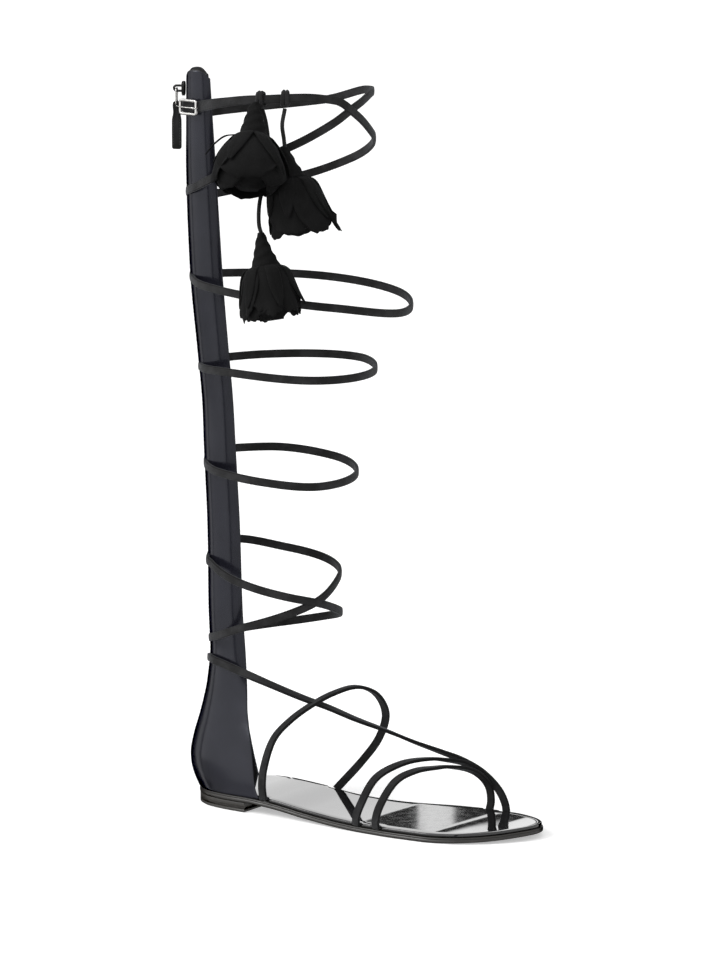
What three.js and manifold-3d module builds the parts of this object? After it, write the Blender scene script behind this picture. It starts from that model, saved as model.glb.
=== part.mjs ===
// Knee-high gladiator sandal, right foot.
// Units are millimetres. +X points to the toe, +Y to the inner (medial) side, +Z up.
// Stations along the sole are measured from the back of the heel and moved to the
// frame's origin, the middle of the heel block's ground face, by the last step.

import * as THREE from 'three';
import { mergeVertices } from 'three/addons/utils/BufferGeometryUtils.js';
import Module from 'manifold-3d';

const wasm = await Module();
wasm.setup();

// ---------- driving sizes ----------
const GAP = 0.3; // clearance between neighbouring pieces
const SOLE_LENGTH = 250;
const HEEL_HEIGHT = 6.2;
const HEEL_FRONT = 50;
const HEEL_ORIGIN_X = 27; // station of the heel block's middle
const OUTSOLE_THICK = 3.5;
const INSOLE_THICK = 2.2;
const WALL = 1.8; // back panel leather with its lining
const PANEL_TOP = 476;
const PANEL_BOTTOM = 10.3;
const ZIP_BEARING = 203; // degrees in plan, just to the outer side of straight back
const ZIP_HALF_GAP = 2.7;
const ZIP_BOTTOM = 66;
const STRAP_WIDTH = 5.2;
const STRAP_THICK = 2.2;
const LOOP_BEARING = 18; // long axis of the leg loops, turned to the inner side
const LOOP_EGG = 0.25; // how much fuller the loops are in front than behind
const THONG_DIAMETER = 2.6;

// ---------- tables ----------
// Sole outline: station from the heel, reach to the medial and to the lateral side.
const OUTLINE = [
  { x: 0.0, medial: 1.5, lateral: -1.5 },
  { x: 1.2, medial: 7.6, lateral: -8.0 },
  { x: 4.0, medial: 13.4, lateral: -14.2 },
  { x: 9.0, medial: 18.8, lateral: -20.0 },
  { x: 20.0, medial: 25.2, lateral: -26.8 },
  { x: 40.0, medial: 28.4, lateral: -31.2 },
  { x: 70.0, medial: 27.0, lateral: -33.4 },
  { x: 100.0, medial: 25.0, lateral: -37.0 },
  { x: 125.0, medial: 27.2, lateral: -40.8 },
  { x: 150.0, medial: 33.0, lateral: -43.8 },
  { x: 170.0, medial: 38.0, lateral: -45.6 },
  { x: 190.0, medial: 40.2, lateral: -45.6 },
  { x: 210.0, medial: 38.0, lateral: -41.4 },
  { x: 225.0, medial: 32.2, lateral: -33.2 },
  { x: 236.0, medial: 25.0, lateral: -23.6 },
  { x: 244.0, medial: 17.0, lateral: -12.8 },
  { x: 248.6, medial: 10.0, lateral: -4.0 },
  { x: 250.0, medial: 4.6, lateral: 1.4 },
];

// Underside of the outsole: flat over the heel block, down the waist, flat under the
// ball, then toe spring.
const UNDERSIDE = [
  { x: 0, z: 6.5 },
  { x: 46, z: 6.5 },
  { x: 70, z: 5.2 },
  { x: 100, z: 2.2 },
  { x: 130, z: 0.4 },
  { x: 146, z: 0.0 },
  { x: 196, z: 0.0 },
  { x: 225, z: 1.1 },
  { x: 250, z: 3.4 },
];

// Back panel and heel counter, one row per height: centre of the section, its radius
// up the leg, how far it has left the sole outline (0..1), how much the heel bulges
// to the rear, and the bearings of its outer and inner front edges.
const PANEL = [
  { z: 10.3, cx: 31.0, radius: 19.0, leave: 0.0, bulge: 0.3, outer: 312.0, inner: 106.0 },
  { z: 18.0, cx: 31.0, radius: 19.0, leave: 0.0, bulge: 3.6, outer: 309.0, inner: 110.0 },
  { z: 26.0, cx: 31.0, radius: 19.0, leave: 0.02, bulge: 5.8, outer: 308.0, inner: 114.0 },
  { z: 34.0, cx: 30.8, radius: 19.0, leave: 0.07, bulge: 6.6, outer: 307.5, inner: 117.0 },
  { z: 44.0, cx: 30.0, radius: 19.0, leave: 0.2, bulge: 6.0, outer: 307.4, inner: 119.0 },
  { z: 60.0, cx: 28.5, radius: 18.6, leave: 0.5, bulge: 4.2, outer: 307.4, inner: 119.0 },
  { z: 82.0, cx: 26.5, radius: 18.5, leave: 0.85, bulge: 1.6, outer: 312.0, inner: 118.0 },
  { z: 104.0, cx: 25.0, radius: 18.3, leave: 1.0, bulge: 0.0, outer: 315.0, inner: 117.0 },
  { z: 128.0, cx: 23.2, radius: 17.8, leave: 1.0, bulge: 0.0, outer: 315.0, inner: 117.0 },
  { z: 180.0, cx: 21.6, radius: 17.0, leave: 1.0, bulge: 0.0, outer: 315.0, inner: 117.0 },
  { z: 232.0, cx: 18.6, radius: 16.6, leave: 1.0, bulge: 0.0, outer: 315.0, inner: 117.0 },
  { z: 262.0, cx: 16.9, radius: 16.2, leave: 1.0, bulge: 0.0, outer: 315.0, inner: 117.0 },
  { z: 297.0, cx: 13.4, radius: 16.4, leave: 1.0, bulge: 0.0, outer: 315.0, inner: 117.0 },
  { z: 339.0, cx: 9.3, radius: 16.9, leave: 1.0, bulge: 0.0, outer: 315.0, inner: 117.0 },
  { z: 370.0, cx: 7.1, radius: 16.6, leave: 1.0, bulge: 0.0, outer: 315.0, inner: 117.0 },
  { z: 411.0, cx: 4.5, radius: 15.6, leave: 1.0, bulge: 0.0, outer: 315.0, inner: 117.0 },
  { z: 440.0, cx: 2.7, radius: 14.0, leave: 1.0, bulge: 0.0, outer: 315.0, inner: 117.0 },
  { z: 476.0, cx: 0.6, radius: 12.0, leave: 1.0, bulge: 0.0, outer: 315.0, inner: 117.0 },
];

// Strap loops round the leg. length and half are the loop's plan sizes; outward moves
// the strand off the loop; hugs makes its outer end lie on the panel; each row gives a
// turn round the loop (0 in front, -180 at the zip on the outer side, 180 at the zip on
// the inner side), a height and a width.
const LOOPS = {
  calf_strap_upper: [{
    length: 144, half: 56, outward: 0, rows: [
      { turn: -180, z: 343, width: 5.2 },
      { turn: -110, z: 338, width: 5.2 },
      { turn: -60, z: 333, width: 5.2 },
      { turn: -5, z: 325, width: 5.2 },
      { turn: 40, z: 330, width: 5.2 },
      { turn: 105, z: 338, width: 5.2 },
      { turn: 180, z: 342, width: 5.2 },
    ],
  }],
  calf_strap_middle: [{
    length: 116, half: 52, outward: 0, rows: [
      { turn: -180, z: 284, width: 5.2 },
      { turn: -110, z: 287, width: 5.2 },
      { turn: -50, z: 285, width: 5.2 },
      { turn: 5, z: 284, width: 5.2 },
      { turn: 50, z: 286, width: 5.2 },
      { turn: 110, z: 286, width: 5.2 },
      { turn: 180, z: 285, width: 5.2 },
    ],
  }],
  calf_strap_lower: [{
    length: 100, half: 46, outward: 0, rows: [
      { turn: -180, z: 223, width: 5.2 },
      { turn: -90, z: 218, width: 5.2 },
      { turn: -40, z: 215, width: 5.2 },
      { turn: 5, z: 216, width: 5.2 },
      { turn: 60, z: 221, width: 5.2 },
      { turn: 110, z: 226, width: 5.2 },
      { turn: 180, z: 227, width: 5.2 },
    ],
  }],
  top_wrap_strap: [{
    length: 122, half: 53, outward: 1.2, hugs: true, rows: [
      { turn: -180, z: 452.4, width: 7.4 },
      { turn: -142, z: 453.2, width: 7.4 },
      { turn: -126, z: 455.4, width: 7.0 },
      { turn: -110, z: 459.4, width: 6.2 },
      { turn: -90, z: 463.8, width: 5.6 },
      { turn: -60, z: 466, width: 5.2 },
      { turn: -38, z: 463, width: 5.2 },
      { turn: -20, z: 452, width: 5.2 },
      { turn: 0, z: 439, width: 5.2 },
      { turn: 20, z: 430, width: 5.2 },
      { turn: 55, z: 414, width: 5.2 },
      { turn: 90, z: 401, width: 5.2 },
      { turn: 130, z: 393, width: 5.2 },
      { turn: 180, z: 388, width: 5.2 },
    ],
  }, {
    length: 122, half: 53, outward: 0, rows: [
      { turn: -180, z: 396, width: 5.2 },
      { turn: -145, z: 402, width: 5.2 },
      { turn: -115, z: 414, width: 5.2 },
      { turn: -67, z: 435, width: 5.2 },
      { turn: -40, z: 448, width: 5.2 },
      { turn: -18, z: 458, width: 5.2 },
      { turn: 6, z: 463, width: 5.2 },
      { turn: 35, z: 461, width: 5.2 },
      { turn: 75, z: 451, width: 5.2 },
      { turn: 110, z: 447, width: 5.2 },
      { turn: 180, z: 443, width: 5.2 },
    ],
  }],
  ankle_cross_strap: [{
    length: 87, half: 41, outward: 0, rows: [
      { turn: -180, z: 106, width: 5.2 },
      { turn: -143, z: 111, width: 5.2 },
      { turn: -100, z: 122, width: 5.2 },
      { turn: -60, z: 132, width: 5.2 },
      { turn: -30, z: 139, width: 5.2 },
      { turn: 5, z: 149, width: 5.2 },
      { turn: 40, z: 153, width: 5.2 },
      { turn: 90, z: 160, width: 5.2 },
      { turn: 130, z: 167, width: 5.2 },
      { turn: 180, z: 170, width: 5.2 },
    ],
  }, {
    length: 86, half: 41, outward: 1.2, rows: [
      { turn: -180, z: 161, width: 5.2 },
      { turn: -146, z: 159, width: 5.2 },
      { turn: -112, z: 152, width: 5.2 },
      { turn: -60, z: 143, width: 5.2 },
      { turn: -34, z: 138, width: 5.2 },
      { turn: 6, z: 127, width: 5.2 },
      { turn: 45, z: 118, width: 5.2 },
      { turn: 90, z: 111, width: 5.2 },
      { turn: 130, z: 108, width: 5.2 },
      { turn: 180, z: 106, width: 5.2 },
    ],
  }],
};

// Straps over the foot, each from its lateral end to its medial end.
const INSTEP_STRAP = [
  { x: 7.4, y: -11.6, z: 94.5 },
  { x: 15.9, y: -19.4, z: 95.5 },
  { x: 27.0, y: -22.6, z: 94.0 },
  { x: 38.0, y: -25.0, z: 92.0 },
  { x: 52.0, y: -28.0, z: 89.5 },
  { x: 72.0, y: -28.6, z: 84.5 },
  { x: 90.0, y: -24.0, z: 78.2 },
  { x: 105.0, y: -17.0, z: 72.4 },
  { x: 120.0, y: -9.0, z: 65.2 },
  { x: 136.0, y: 1.0, z: 58.0 },
  { x: 151.0, y: 12.0, z: 50.0 },
  { x: 165.0, y: 22.5, z: 43.2 },
  { x: 176.0, y: 31.0, z: 37.4 },
  { x: 187.0, y: 38.6, z: 28.8 },
  { x: 197.0, y: 41.6, z: 18.0 },
  { x: 202.0, y: 40.9, z: 10.0 },
  { x: 203.5, y: 40.2, z: 4.6 },
];
const ARCH_STRAP = [
  { x: 64.6, y: -32.4, z: 10.6 },
  { x: 64.8, y: -34.2, z: 20.0 },
  { x: 67.0, y: -35.4, z: 32.0 },
  { x: 74.0, y: -34.2, z: 52.0 },
  { x: 85.0, y: -30.4, z: 65.0 },
  { x: 97.5, y: -22.6, z: 75.6 },
  { x: 107.0, y: -14.0, z: 81.8 },
  { x: 115.6, y: -2.0, z: 84.6 },
  { x: 121.0, y: 13.0, z: 78.5 },
  { x: 121.0, y: 26.0, z: 63.0 },
  { x: 112.5, y: 31.6, z: 45.0 },
  { x: 100.0, y: 31.4, z: 28.6 },
  { x: 88.0, y: 28.4, z: 14.6 },
  { x: 83.0, y: 26.4, z: 8.6 },
];
const TOE_STRAP_REAR = [
  { x: 141.0, y: -41.9, z: 4.6 },
  { x: 142.0, y: -43.4, z: 10.0 },
  { x: 144.4, y: -41.6, z: 18.6 },
  { x: 149.4, y: -32.0, z: 34.0 },
  { x: 158.0, y: -15.0, z: 41.4 },
  { x: 166.0, y: 6.0, z: 41.6 },
  { x: 172.0, y: 19.6, z: 39.0 },
  { x: 178.6, y: 31.4, z: 35.2 },
  { x: 187.0, y: 38.4, z: 28.4 },
];
const TOE_STRAP_FRONT = [
  { x: 157.0, y: -43.8, z: 4.6 },
  { x: 157.6, y: -45.2, z: 10.0 },
  { x: 159.4, y: -43.2, z: 19.0 },
  { x: 163.4, y: -30.4, z: 33.4 },
  { x: 168.4, y: -15.0, z: 37.8 },
  { x: 173.8, y: 1.4, z: 37.6 },
  { x: 177.0, y: 11.0, z: 36.8 },
  { x: 184.0, y: 27.0, z: 32.6 },
  { x: 188.0, y: 35.0, z: 27.0 },
  { x: 190.6, y: 39.8, z: 19.6 },
  { x: 191.4, y: 41.0, z: 11.0 },
  { x: 190.8, y: 40.0, z: 4.6 },
];
// Where the insole is notched for the strap ends: station, side (+1 medial), width.
const NOTCHES = [
  { x: 203.5, side: 1, width: 6.4 },
  { x: 190.8, side: 1, width: 6.4 },
  { x: 83.0, side: 1, width: 7.6 },
  { x: 64.6, side: -1, width: 6.4 },
  { x: 141.2, side: -1, width: 6.4 },
  { x: 157.0, side: -1, width: 6.4 },
];

// Roses hang by the cap: top of the cap, lean of the axis per mm of drop, size factor.
const ROSES = [
  { name: 'rose_upper', x: 66.5, y: -42.5, z: 461.0, leanX: 0.18, leanY: -0.47, size: 1.02 },
  { name: 'rose_middle', x: 85.0, y: -37.0, z: 434.0, leanX: 0.24, leanY: -0.03, size: 1.0 },
  { name: 'rose_lower', x: 80.0, y: -57.0, z: 380.0, leanX: 0.22, leanY: -0.1, size: 0.98 },
];
// Outline of a rose, from the top of its cap down: drop below the top, radius, lobes.
const ROSE_ROWS = [
  { drop: 0, radius: 1.9, lobe: 0 },
  { drop: 6, radius: 3.0, lobe: 0 },
  { drop: 13, radius: 5.0, lobe: 0 },
  { drop: 18, radius: 7.2, lobe: 0.02 },
  { drop: 22, radius: 12.0, lobe: 0.05 },
  { drop: 28, radius: 16.8, lobe: 0.06 },
  { drop: 37, radius: 18.8, lobe: 0.07 },
  { drop: 45, radius: 18.2, lobe: 0.08 },
  { drop: 51, radius: 14.0, lobe: 0.1 },
  { drop: 55, radius: 9.4, lobe: 0.12 },
];
// Turns of the top strap that carry the two leather loops. The middle rose hangs on a
// short stem of its own, the lower rose on the long thong.
const LOOP_TURNS = { rear: -86, front: -71 };
const SHORT_STEM = [
  { x: 81.6, y: -31.8, z: 458.8 },
  { x: 82.4, y: -36.2, z: 449.0 },
  { x: 84.2, y: -37.0, z: 440.0 },
  { x: 85.2, y: -37.0, z: 432.0 },
];
const THONG_LONG = [
  { x: 66.6, y: -35.0, z: 458.2 },
  { x: 67.0, y: -31.6, z: 450.0 },
  { x: 68.0, y: -30.0, z: 436.0 },
  { x: 67.6, y: -30.4, z: 424.0 },
  { x: 67.6, y: -34.0, z: 412.0 },
  { x: 69.6, y: -43.0, z: 399.0 },
  { x: 75.6, y: -53.0, z: 387.0 },
  { x: 79.6, y: -56.6, z: 382.2 },
];

// ---------- looks of the raw materials ----------
const LOOKS = {
  panelLeather: { color: 0x2b2c31, roughness: 0.3, metalness: 0 },
  suede: { color: 0x141416, roughness: 0.9, metalness: 0 },
  patent: { color: 0x1c1c1f, roughness: 0.08, metalness: 0 },
  soleLeather: { color: 0x241f1d, roughness: 0.45, metalness: 0 },
  heel: { color: 0x2e2a28, roughness: 0.5, metalness: 0 },
  nickel: { color: 0xc9cacc, roughness: 0.2, metalness: 1 },
  zipTape: { color: 0x17171a, roughness: 0.6, metalness: 0.1 },
};

const group = new THREE.Group();
group.name = 'gladiator_sandal';

// ---------- helpers ----------

// Smooth value of one column at a key, from rows sorted by that key.
function tableValue(rows, key, column, at) {
  if (at <= rows[0][key]) return rows[0][column];
  const last = rows.length - 1;
  if (at >= rows[last][key]) return rows[last][column];
  let i = 0;
  while (rows[i + 1][key] < at) i += 1;
  const slope = (a, b) => (rows[b][column] - rows[a][column]) / (rows[b][key] - rows[a][key]);
  const here = slope(i, i + 1);
  const before = i > 0 ? slope(i - 1, i) : here;
  const after = i + 2 <= last ? slope(i + 1, i + 2) : here;
  const startSlope = before * here <= 0 ? 0 : (2 * before * here) / (before + here);
  const endSlope = after * here <= 0 ? 0 : (2 * after * here) / (after + here);
  const span = rows[i + 1][key] - rows[i][key];
  const t = (at - rows[i][key]) / span;
  const t2 = t * t;
  const t3 = t2 * t;
  const fromStart = (2 * t3 - 3 * t2 + 1) * rows[i][column] + (t3 - 2 * t2 + t) * span * startSlope;
  const fromEnd = (3 * t2 - 2 * t3) * rows[i + 1][column] + (t3 - t2) * span * endSlope;
  return fromStart + fromEnd;
}

const rad = THREE.MathUtils.degToRad;
const bearing = (deg) => new THREE.Vector3(Math.cos(rad(deg)), Math.sin(rad(deg)), 0);
const vec = (p) => new THREE.Vector3(p.x, p.y, p.z);

// Closed solid through a list of rings with equal point counts. Rings run along the
// solid; the points of each ring turn right-handed about that direction.
function loft(rings, closedAlong = false) {
  const count = rings[0].length;
  const positions = [];
  const index = [];
  rings.forEach((ring) => ring.forEach((p) => positions.push(p.x, p.y, p.z)));
  const spans = closedAlong ? rings.length : rings.length - 1;
  for (let i = 0; i < spans; i += 1) {
    const a = i * count;
    const b = ((i + 1) % rings.length) * count;
    for (let j = 0; j < count; j += 1) {
      const k = (j + 1) % count;
      index.push(a + j, a + k, b + k);
      index.push(a + j, b + k, b + j);
    }
  }
  if (!closedAlong) {
    const end = (rings.length - 1) * count;
    const startCentre = positions.length / 3;
    const centreOf = (ring) => ring.reduce((s, p) => s.add(p), new THREE.Vector3()).divideScalar(count);
    const first = centreOf(rings[0]);
    const lastCentre = centreOf(rings[rings.length - 1]);
    positions.push(first.x, first.y, first.z, lastCentre.x, lastCentre.y, lastCentre.z);
    for (let j = 0; j < count; j += 1) {
      const k = (j + 1) % count;
      index.push(startCentre, k, j);
      index.push(startCentre + 1, end + j, end + k);
    }
  }
  const geometry = new THREE.BufferGeometry();
  geometry.setAttribute('position', new THREE.Float32BufferAttribute(positions, 3));
  geometry.setIndex(index);
  return outward(geometry);
}

// Turns the faces round when the enclosed volume comes out negative.
function outward(geometry) {
  const p = geometry.attributes.position;
  const idx = geometry.index.array;
  const a = new THREE.Vector3();
  const b = new THREE.Vector3();
  const c = new THREE.Vector3();
  let volume = 0;
  for (let i = 0; i < idx.length; i += 3) {
    a.fromBufferAttribute(p, idx[i]);
    b.fromBufferAttribute(p, idx[i + 1]);
    c.fromBufferAttribute(p, idx[i + 2]);
    volume += a.dot(b.cross(c)) / 6;
  }
  if (volume < 0) {
    const turned = [];
    for (let i = 0; i < idx.length; i += 3) turned.push(idx[i], idx[i + 2], idx[i + 1]);
    geometry.setIndex(turned);
  }
  return geometry;
}

function toManifold(geometry) {
  const vertProperties = new Float32Array(geometry.attributes.position.array);
  const triVerts = new Uint32Array(geometry.index.array);
  return new wasm.Manifold(new wasm.Mesh({ numProp: 3, vertProperties, triVerts }));
}

function fromManifold(solid) {
  const mesh = solid.getMesh();
  const geometry = new THREE.BufferGeometry();
  geometry.setAttribute('position', new THREE.Float32BufferAttribute(Array.from(mesh.vertProperties), 3));
  geometry.setIndex(Array.from(mesh.triVerts));
  return geometry;
}

function joined(geometries) {
  return fromManifold(geometries.map(toManifold).reduce((sum, solid) => sum.add(solid)));
}

function cut(geometry, cutters) {
  return fromManifold(cutters.map(toManifold).reduce((sum, solid) => sum.subtract(solid), toManifold(geometry)));
}

function addPart(name, geometry, look) {
  geometry.translate(-HEEL_ORIGIN_X, 0, 0);
  geometry.computeVertexNormals();
  const mesh = new THREE.Mesh(geometry, new THREE.MeshStandardMaterial(LOOKS[look]));
  mesh.name = name;
  group.add(mesh);
}

// Eight-sided strap section with small chamfers, across the width and the normal.
function strapRing(centre, across, normal, width, thick) {
  const w = width / 2;
  const t = thick / 2;
  const c = Math.min(0.6, t * 0.6);
  const corners = [[w, t - c], [w - c, t], [c - w, t], [-w, t - c], [-w, c - t], [c - w, -t], [w - c, -t], [w, c - t]];
  return corners.map(([u, v]) => centre.clone().addScaledVector(across, u).addScaledVector(normal, v));
}

// A strap along points that carry their own outward normals and widths.
function strapAlong(stations, thick = STRAP_THICK) {
  const rings = stations.map((station, i) => {
    const next = stations[Math.min(i + 1, stations.length - 1)].point;
    const before = stations[Math.max(i - 1, 0)].point;
    const tangent = next.clone().sub(before).normalize();
    const normal = station.normal.clone().addScaledVector(tangent, -station.normal.dot(tangent)).normalize();
    const across = new THREE.Vector3().crossVectors(normal, tangent);
    return strapRing(station.point, across, normal, station.width, thick);
  });
  return loft(rings);
}

// A round bar along points, with circular sections square to the path.
function barAlong(points, radius, sides = 8, closed = false) {
  const last = points.length - 1;
  let normal = new THREE.Vector3(0.31, 0.17, 0.93);
  const rings = points.map((point, i) => {
    const next = closed ? points[(i + 1) % points.length] : points[Math.min(i + 1, last)];
    const before = closed ? points[(i + last) % points.length] : points[Math.max(i - 1, 0)];
    const tangent = next.clone().sub(before).normalize();
    normal = normal.clone().addScaledVector(tangent, -normal.dot(tangent)).normalize();
    const side = new THREE.Vector3().crossVectors(tangent, normal);
    return Array.from({ length: sides }, (_, k) => {
      const a = (2 * Math.PI * k) / sides;
      return point.clone().addScaledVector(normal, radius * Math.cos(a)).addScaledVector(side, radius * Math.sin(a));
    });
  });
  return loft(rings, closed);
}

// Rounded rectangle loop in the plane of two directions.
function rectLoop(centre, along, up, halfLong, halfHigh, corner, perCorner = 4) {
  const points = [];
  [[1, 1], [-1, 1], [-1, -1], [1, -1]].forEach(([sx, sy], q) => {
    for (let k = 0; k <= perCorner; k += 1) {
      const a = (Math.PI / 2) * (q + k / perCorner);
      const u = sx * (halfLong - corner) + corner * Math.cos(a);
      const v = sy * (halfHigh - corner) + corner * Math.sin(a);
      points.push(centre.clone().addScaledVector(along, u).addScaledVector(up, v));
    }
  });
  return points;
}

// ---------- sole ----------

const medialEdge = (x) => tableValue(OUTLINE, 'x', 'medial', x);
const lateralEdge = (x) => tableValue(OUTLINE, 'x', 'lateral', x);
const underside = (x) => tableValue(UNDERSIDE, 'x', 'z', x);
const soleTop = (x) => underside(x) + OUTSOLE_THICK;

// Stations from one end to the other, closer together at a rounded end.
function stationsBetween(from, to, count) {
  return Array.from({ length: count + 1 }, (_, i) => {
    const t = i / count;
    const eased = 0.5 - 0.5 * Math.cos(Math.PI * t);
    return from + (to - from) * (0.15 * t + 0.85 * eased);
  });
}

// A plate that follows the sole: chamfered edges, top and bottom given along x.
function solePlate(stations, edges, bottom, top, chamfer, across = 3) {
  const rings = stations.map((x) => {
    const [lateral, medial] = edges(x);
    const lo = bottom(x);
    const hi = top(x);
    const c = Math.min(chamfer, (medial - lateral) * 0.2);
    const ring = [];
    for (let k = 0; k <= across; k += 1) {
      ring.push(new THREE.Vector3(x, lateral + c + ((medial - lateral - 2 * c) * k) / across, lo));
    }
    ring.push(new THREE.Vector3(x, medial, lo + c));
    ring.push(new THREE.Vector3(x, medial, hi - c));
    for (let k = 0; k <= across; k += 1) {
      ring.push(new THREE.Vector3(x, medial - c - ((medial - lateral - 2 * c) * k) / across, hi));
    }
    ring.push(new THREE.Vector3(x, lateral, hi - c));
    ring.push(new THREE.Vector3(x, lateral, lo + c));
    return ring;
  });
  return loft(rings);
}

// Edges of the outline moved in by an inset that can differ along the two sides. The
// outline is shrunk along x as well, so that the ends move in by the same amount.
function insetEdges(x, lateralInset, medialInset) {
  const middle = SOLE_LENGTH / 2;
  const inset = 0.5 * (lateralInset + medialInset);
  const stretched = middle + ((x - middle) * middle) / (middle - inset);
  const lateral = lateralEdge(stretched);
  const medial = medialEdge(stretched);
  const room = Math.min(1, (medial - lateral) / 30);
  return [lateral + lateralInset * room, medial - medialInset * room];
}

function buildHeelBlock() {
  const inset = 0.4;
  const stations = stationsBetween(inset, HEEL_FRONT * 2 - inset, 26).filter((x) => x < HEEL_FRONT - 1);
  stations.push(HEEL_FRONT);
  const edges = (x) => insetEdges(x, inset, inset);
  return solePlate(stations, edges, () => 0, () => HEEL_HEIGHT, 0.5);
}

function buildOutsole() {
  const stations = stationsBetween(0, SOLE_LENGTH, 31);
  return solePlate(stations, (x) => insetEdges(x, 0, 0), underside, soleTop, 0.6);
}

// The insole stands in from the edge by 0.8 mm, and by the counter's wall at the heel.
function buildInsole() {
  const behindCounter = WALL + 0.7;
  const step = (x, at) => THREE.MathUtils.smoothstep(x, at - 3, at + 3);
  const lateralInset = (x) => behindCounter + (0.8 - behindCounter) * step(x, 67);
  const medialInset = (x) => behindCounter + (0.8 - behindCounter) * step(x, 33);
  const stations = stationsBetween(behindCounter, SOLE_LENGTH - 0.8, 32);
  const edges = (x) => insetEdges(x, lateralInset(x), medialInset(x));
  const bottom = (x) => soleTop(x) + GAP;
  const top = (x) => soleTop(x) + GAP + INSOLE_THICK;
  const plate = solePlate(stations, edges, bottom, top, 0.5);
  const cutters = NOTCHES.map(({ x, side, width }) => {
    const edge = side > 0 ? medialEdge(x) : lateralEdge(x);
    const centre = new THREE.Vector3(x, edge + side * (4 - 2.3), soleTop(x));
    const ringAt = (dx) => [[-4, -10], [4, -10], [4, 10], [-4, 10]]
      .map(([dy, dz]) => centre.clone().add(new THREE.Vector3(dx, dy, dz)));
    return loft([ringAt(-width / 2), ringAt(width / 2)]);
  });
  return cut(plate, cutters);
}

// ---------- back panel, heel counter and zip ----------

// Distance from a centre on the mid line to the sole outline along a bearing.
function outlineReach(cx, deg) {
  const dir = bearing(deg);
  let low = 5;
  let high = 90;
  for (let i = 0; i < 40; i += 1) {
    const reach = 0.5 * (low + high);
    const x = cx + dir.x * reach;
    const y = dir.y * reach;
    const inside = x > 0.2 && y < medialEdge(x) && y > lateralEdge(x);
    if (inside) low = reach;
    else high = reach;
  }
  return low;
}

// Outer surface of the panel at a height and a bearing about its centre.
function panelPoint(z, deg, offset = 0) {
  const col = (name) => tableValue(PANEL, 'z', name, z);
  const leave = col('leave');
  const soleReach = leave < 1 ? outlineReach(col('cx'), deg) : 0;
  const back = Math.max(0, Math.cos(rad(deg - 206)));
  const reach = (1 - leave) * soleReach + leave * col('radius') + col('bulge') * back * back;
  const dir = bearing(deg);
  return new THREE.Vector3(col('cx'), 0, z).addScaledVector(dir, reach + offset);
}

const zipOpen = (z) => THREE.MathUtils.smoothstep(z, ZIP_BOTTOM - 4, ZIP_BOTTOM);
const zipHalfGap = (z) => GAP / 2 + (ZIP_HALF_GAP - GAP / 2) * zipOpen(z);

// One half of the panel, from the zip to its front edge, with a rounded top.
function buildPanelHalf(edgeColumn) {
  const columns = 8;
  const outerSide = edgeColumn === 'outer';
  const rows = [];
  const levels = [PANEL_BOTTOM, 14, 18, 22, 26, 30, 34, 39, 44, 52, 60, 66, 74, 82, 92, 104];
  for (let z = 130; z < 460; z += 31) levels.push(z);
  levels.push(PANEL_TOP);
  const halfAt = (z, t, offset) => {
    const reach = panelPoint(z, ZIP_BEARING).sub(new THREE.Vector3(tableValue(PANEL, 'z', 'cx', z), 0, z)).length();
    const gapTurn = THREE.MathUtils.radToDeg(zipHalfGap(z) / reach);
    const start = outerSide ? ZIP_BEARING + gapTurn : ZIP_BEARING - gapTurn;
    const end = tableValue(PANEL, 'z', edgeColumn, z);
    return panelPoint(z, start + (end - start) * t, offset);
  };
  levels.forEach((z) => {
    const ring = [];
    const drop = (t) => (z === PANEL_TOP ? 4.6 * Math.abs(2 * t - 1) ** 3 : 0);
    for (let k = 0; k <= columns; k += 1) {
      const t = k / columns;
      ring.push(halfAt(z - drop(t), t, 0));
    }
    for (let k = columns; k >= 0; k -= 1) {
      const t = k / columns;
      ring.push(halfAt(z - drop(t), t, -WALL));
    }
    rows.push(ring);
  });
  return loftOpenSection(rows, columns);
}

// Closed wall from rings that run out along the outer face and back along the inner.
function loftOpenSection(rings, columns) {
  const count = rings[0].length;
  const positions = [];
  const index = [];
  rings.forEach((ring) => ring.forEach((p) => positions.push(p.x, p.y, p.z)));
  for (let i = 0; i + 1 < rings.length; i += 1) {
    for (let j = 0; j < count; j += 1) {
      const k = (j + 1) % count;
      const a = i * count;
      const b = a + count;
      index.push(a + j, a + k, b + k, a + j, b + k, b + j);
    }
  }
  const end = (rings.length - 1) * count;
  for (let k = 0; k < columns; k += 1) {
    const far = count - 1 - k;
    index.push(k, far, far - 1, k, far - 1, k + 1);
    index.push(end + k, end + far - 1, end + far, end + k, end + k + 1, end + far - 1);
  }
  const geometry = new THREE.BufferGeometry();
  geometry.setAttribute('position', new THREE.Float32BufferAttribute(positions, 3));
  geometry.setIndex(index);
  return outward(geometry);
}

// Outward and sideways directions of the zip.
const zipOut = bearing(ZIP_BEARING);
const zipSide = bearing(ZIP_BEARING + 90);

function buildZipChain() {
  const rings = [];
  for (let i = 0; i <= 18; i += 1) {
    const z = ZIP_BOTTOM + 1 + ((PANEL_TOP - 7 - ZIP_BOTTOM) * i) / 18;
    const centre = panelPoint(z, ZIP_BEARING, -WALL / 2 + 0.2);
    rings.push(strapRing(centre, zipSide, zipOut, 2 * (ZIP_HALF_GAP - GAP), 1.6));
  }
  return loft(rings);
}

const SLIDER_Z = 463;
const BAR_OUT = 6.4; // how far the puller's bar stands off the panel
const sliderBase = panelPoint(SLIDER_Z, ZIP_BEARING);
const pullerPivot = sliderBase.clone().addScaledVector(zipOut, BAR_OUT);

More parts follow.
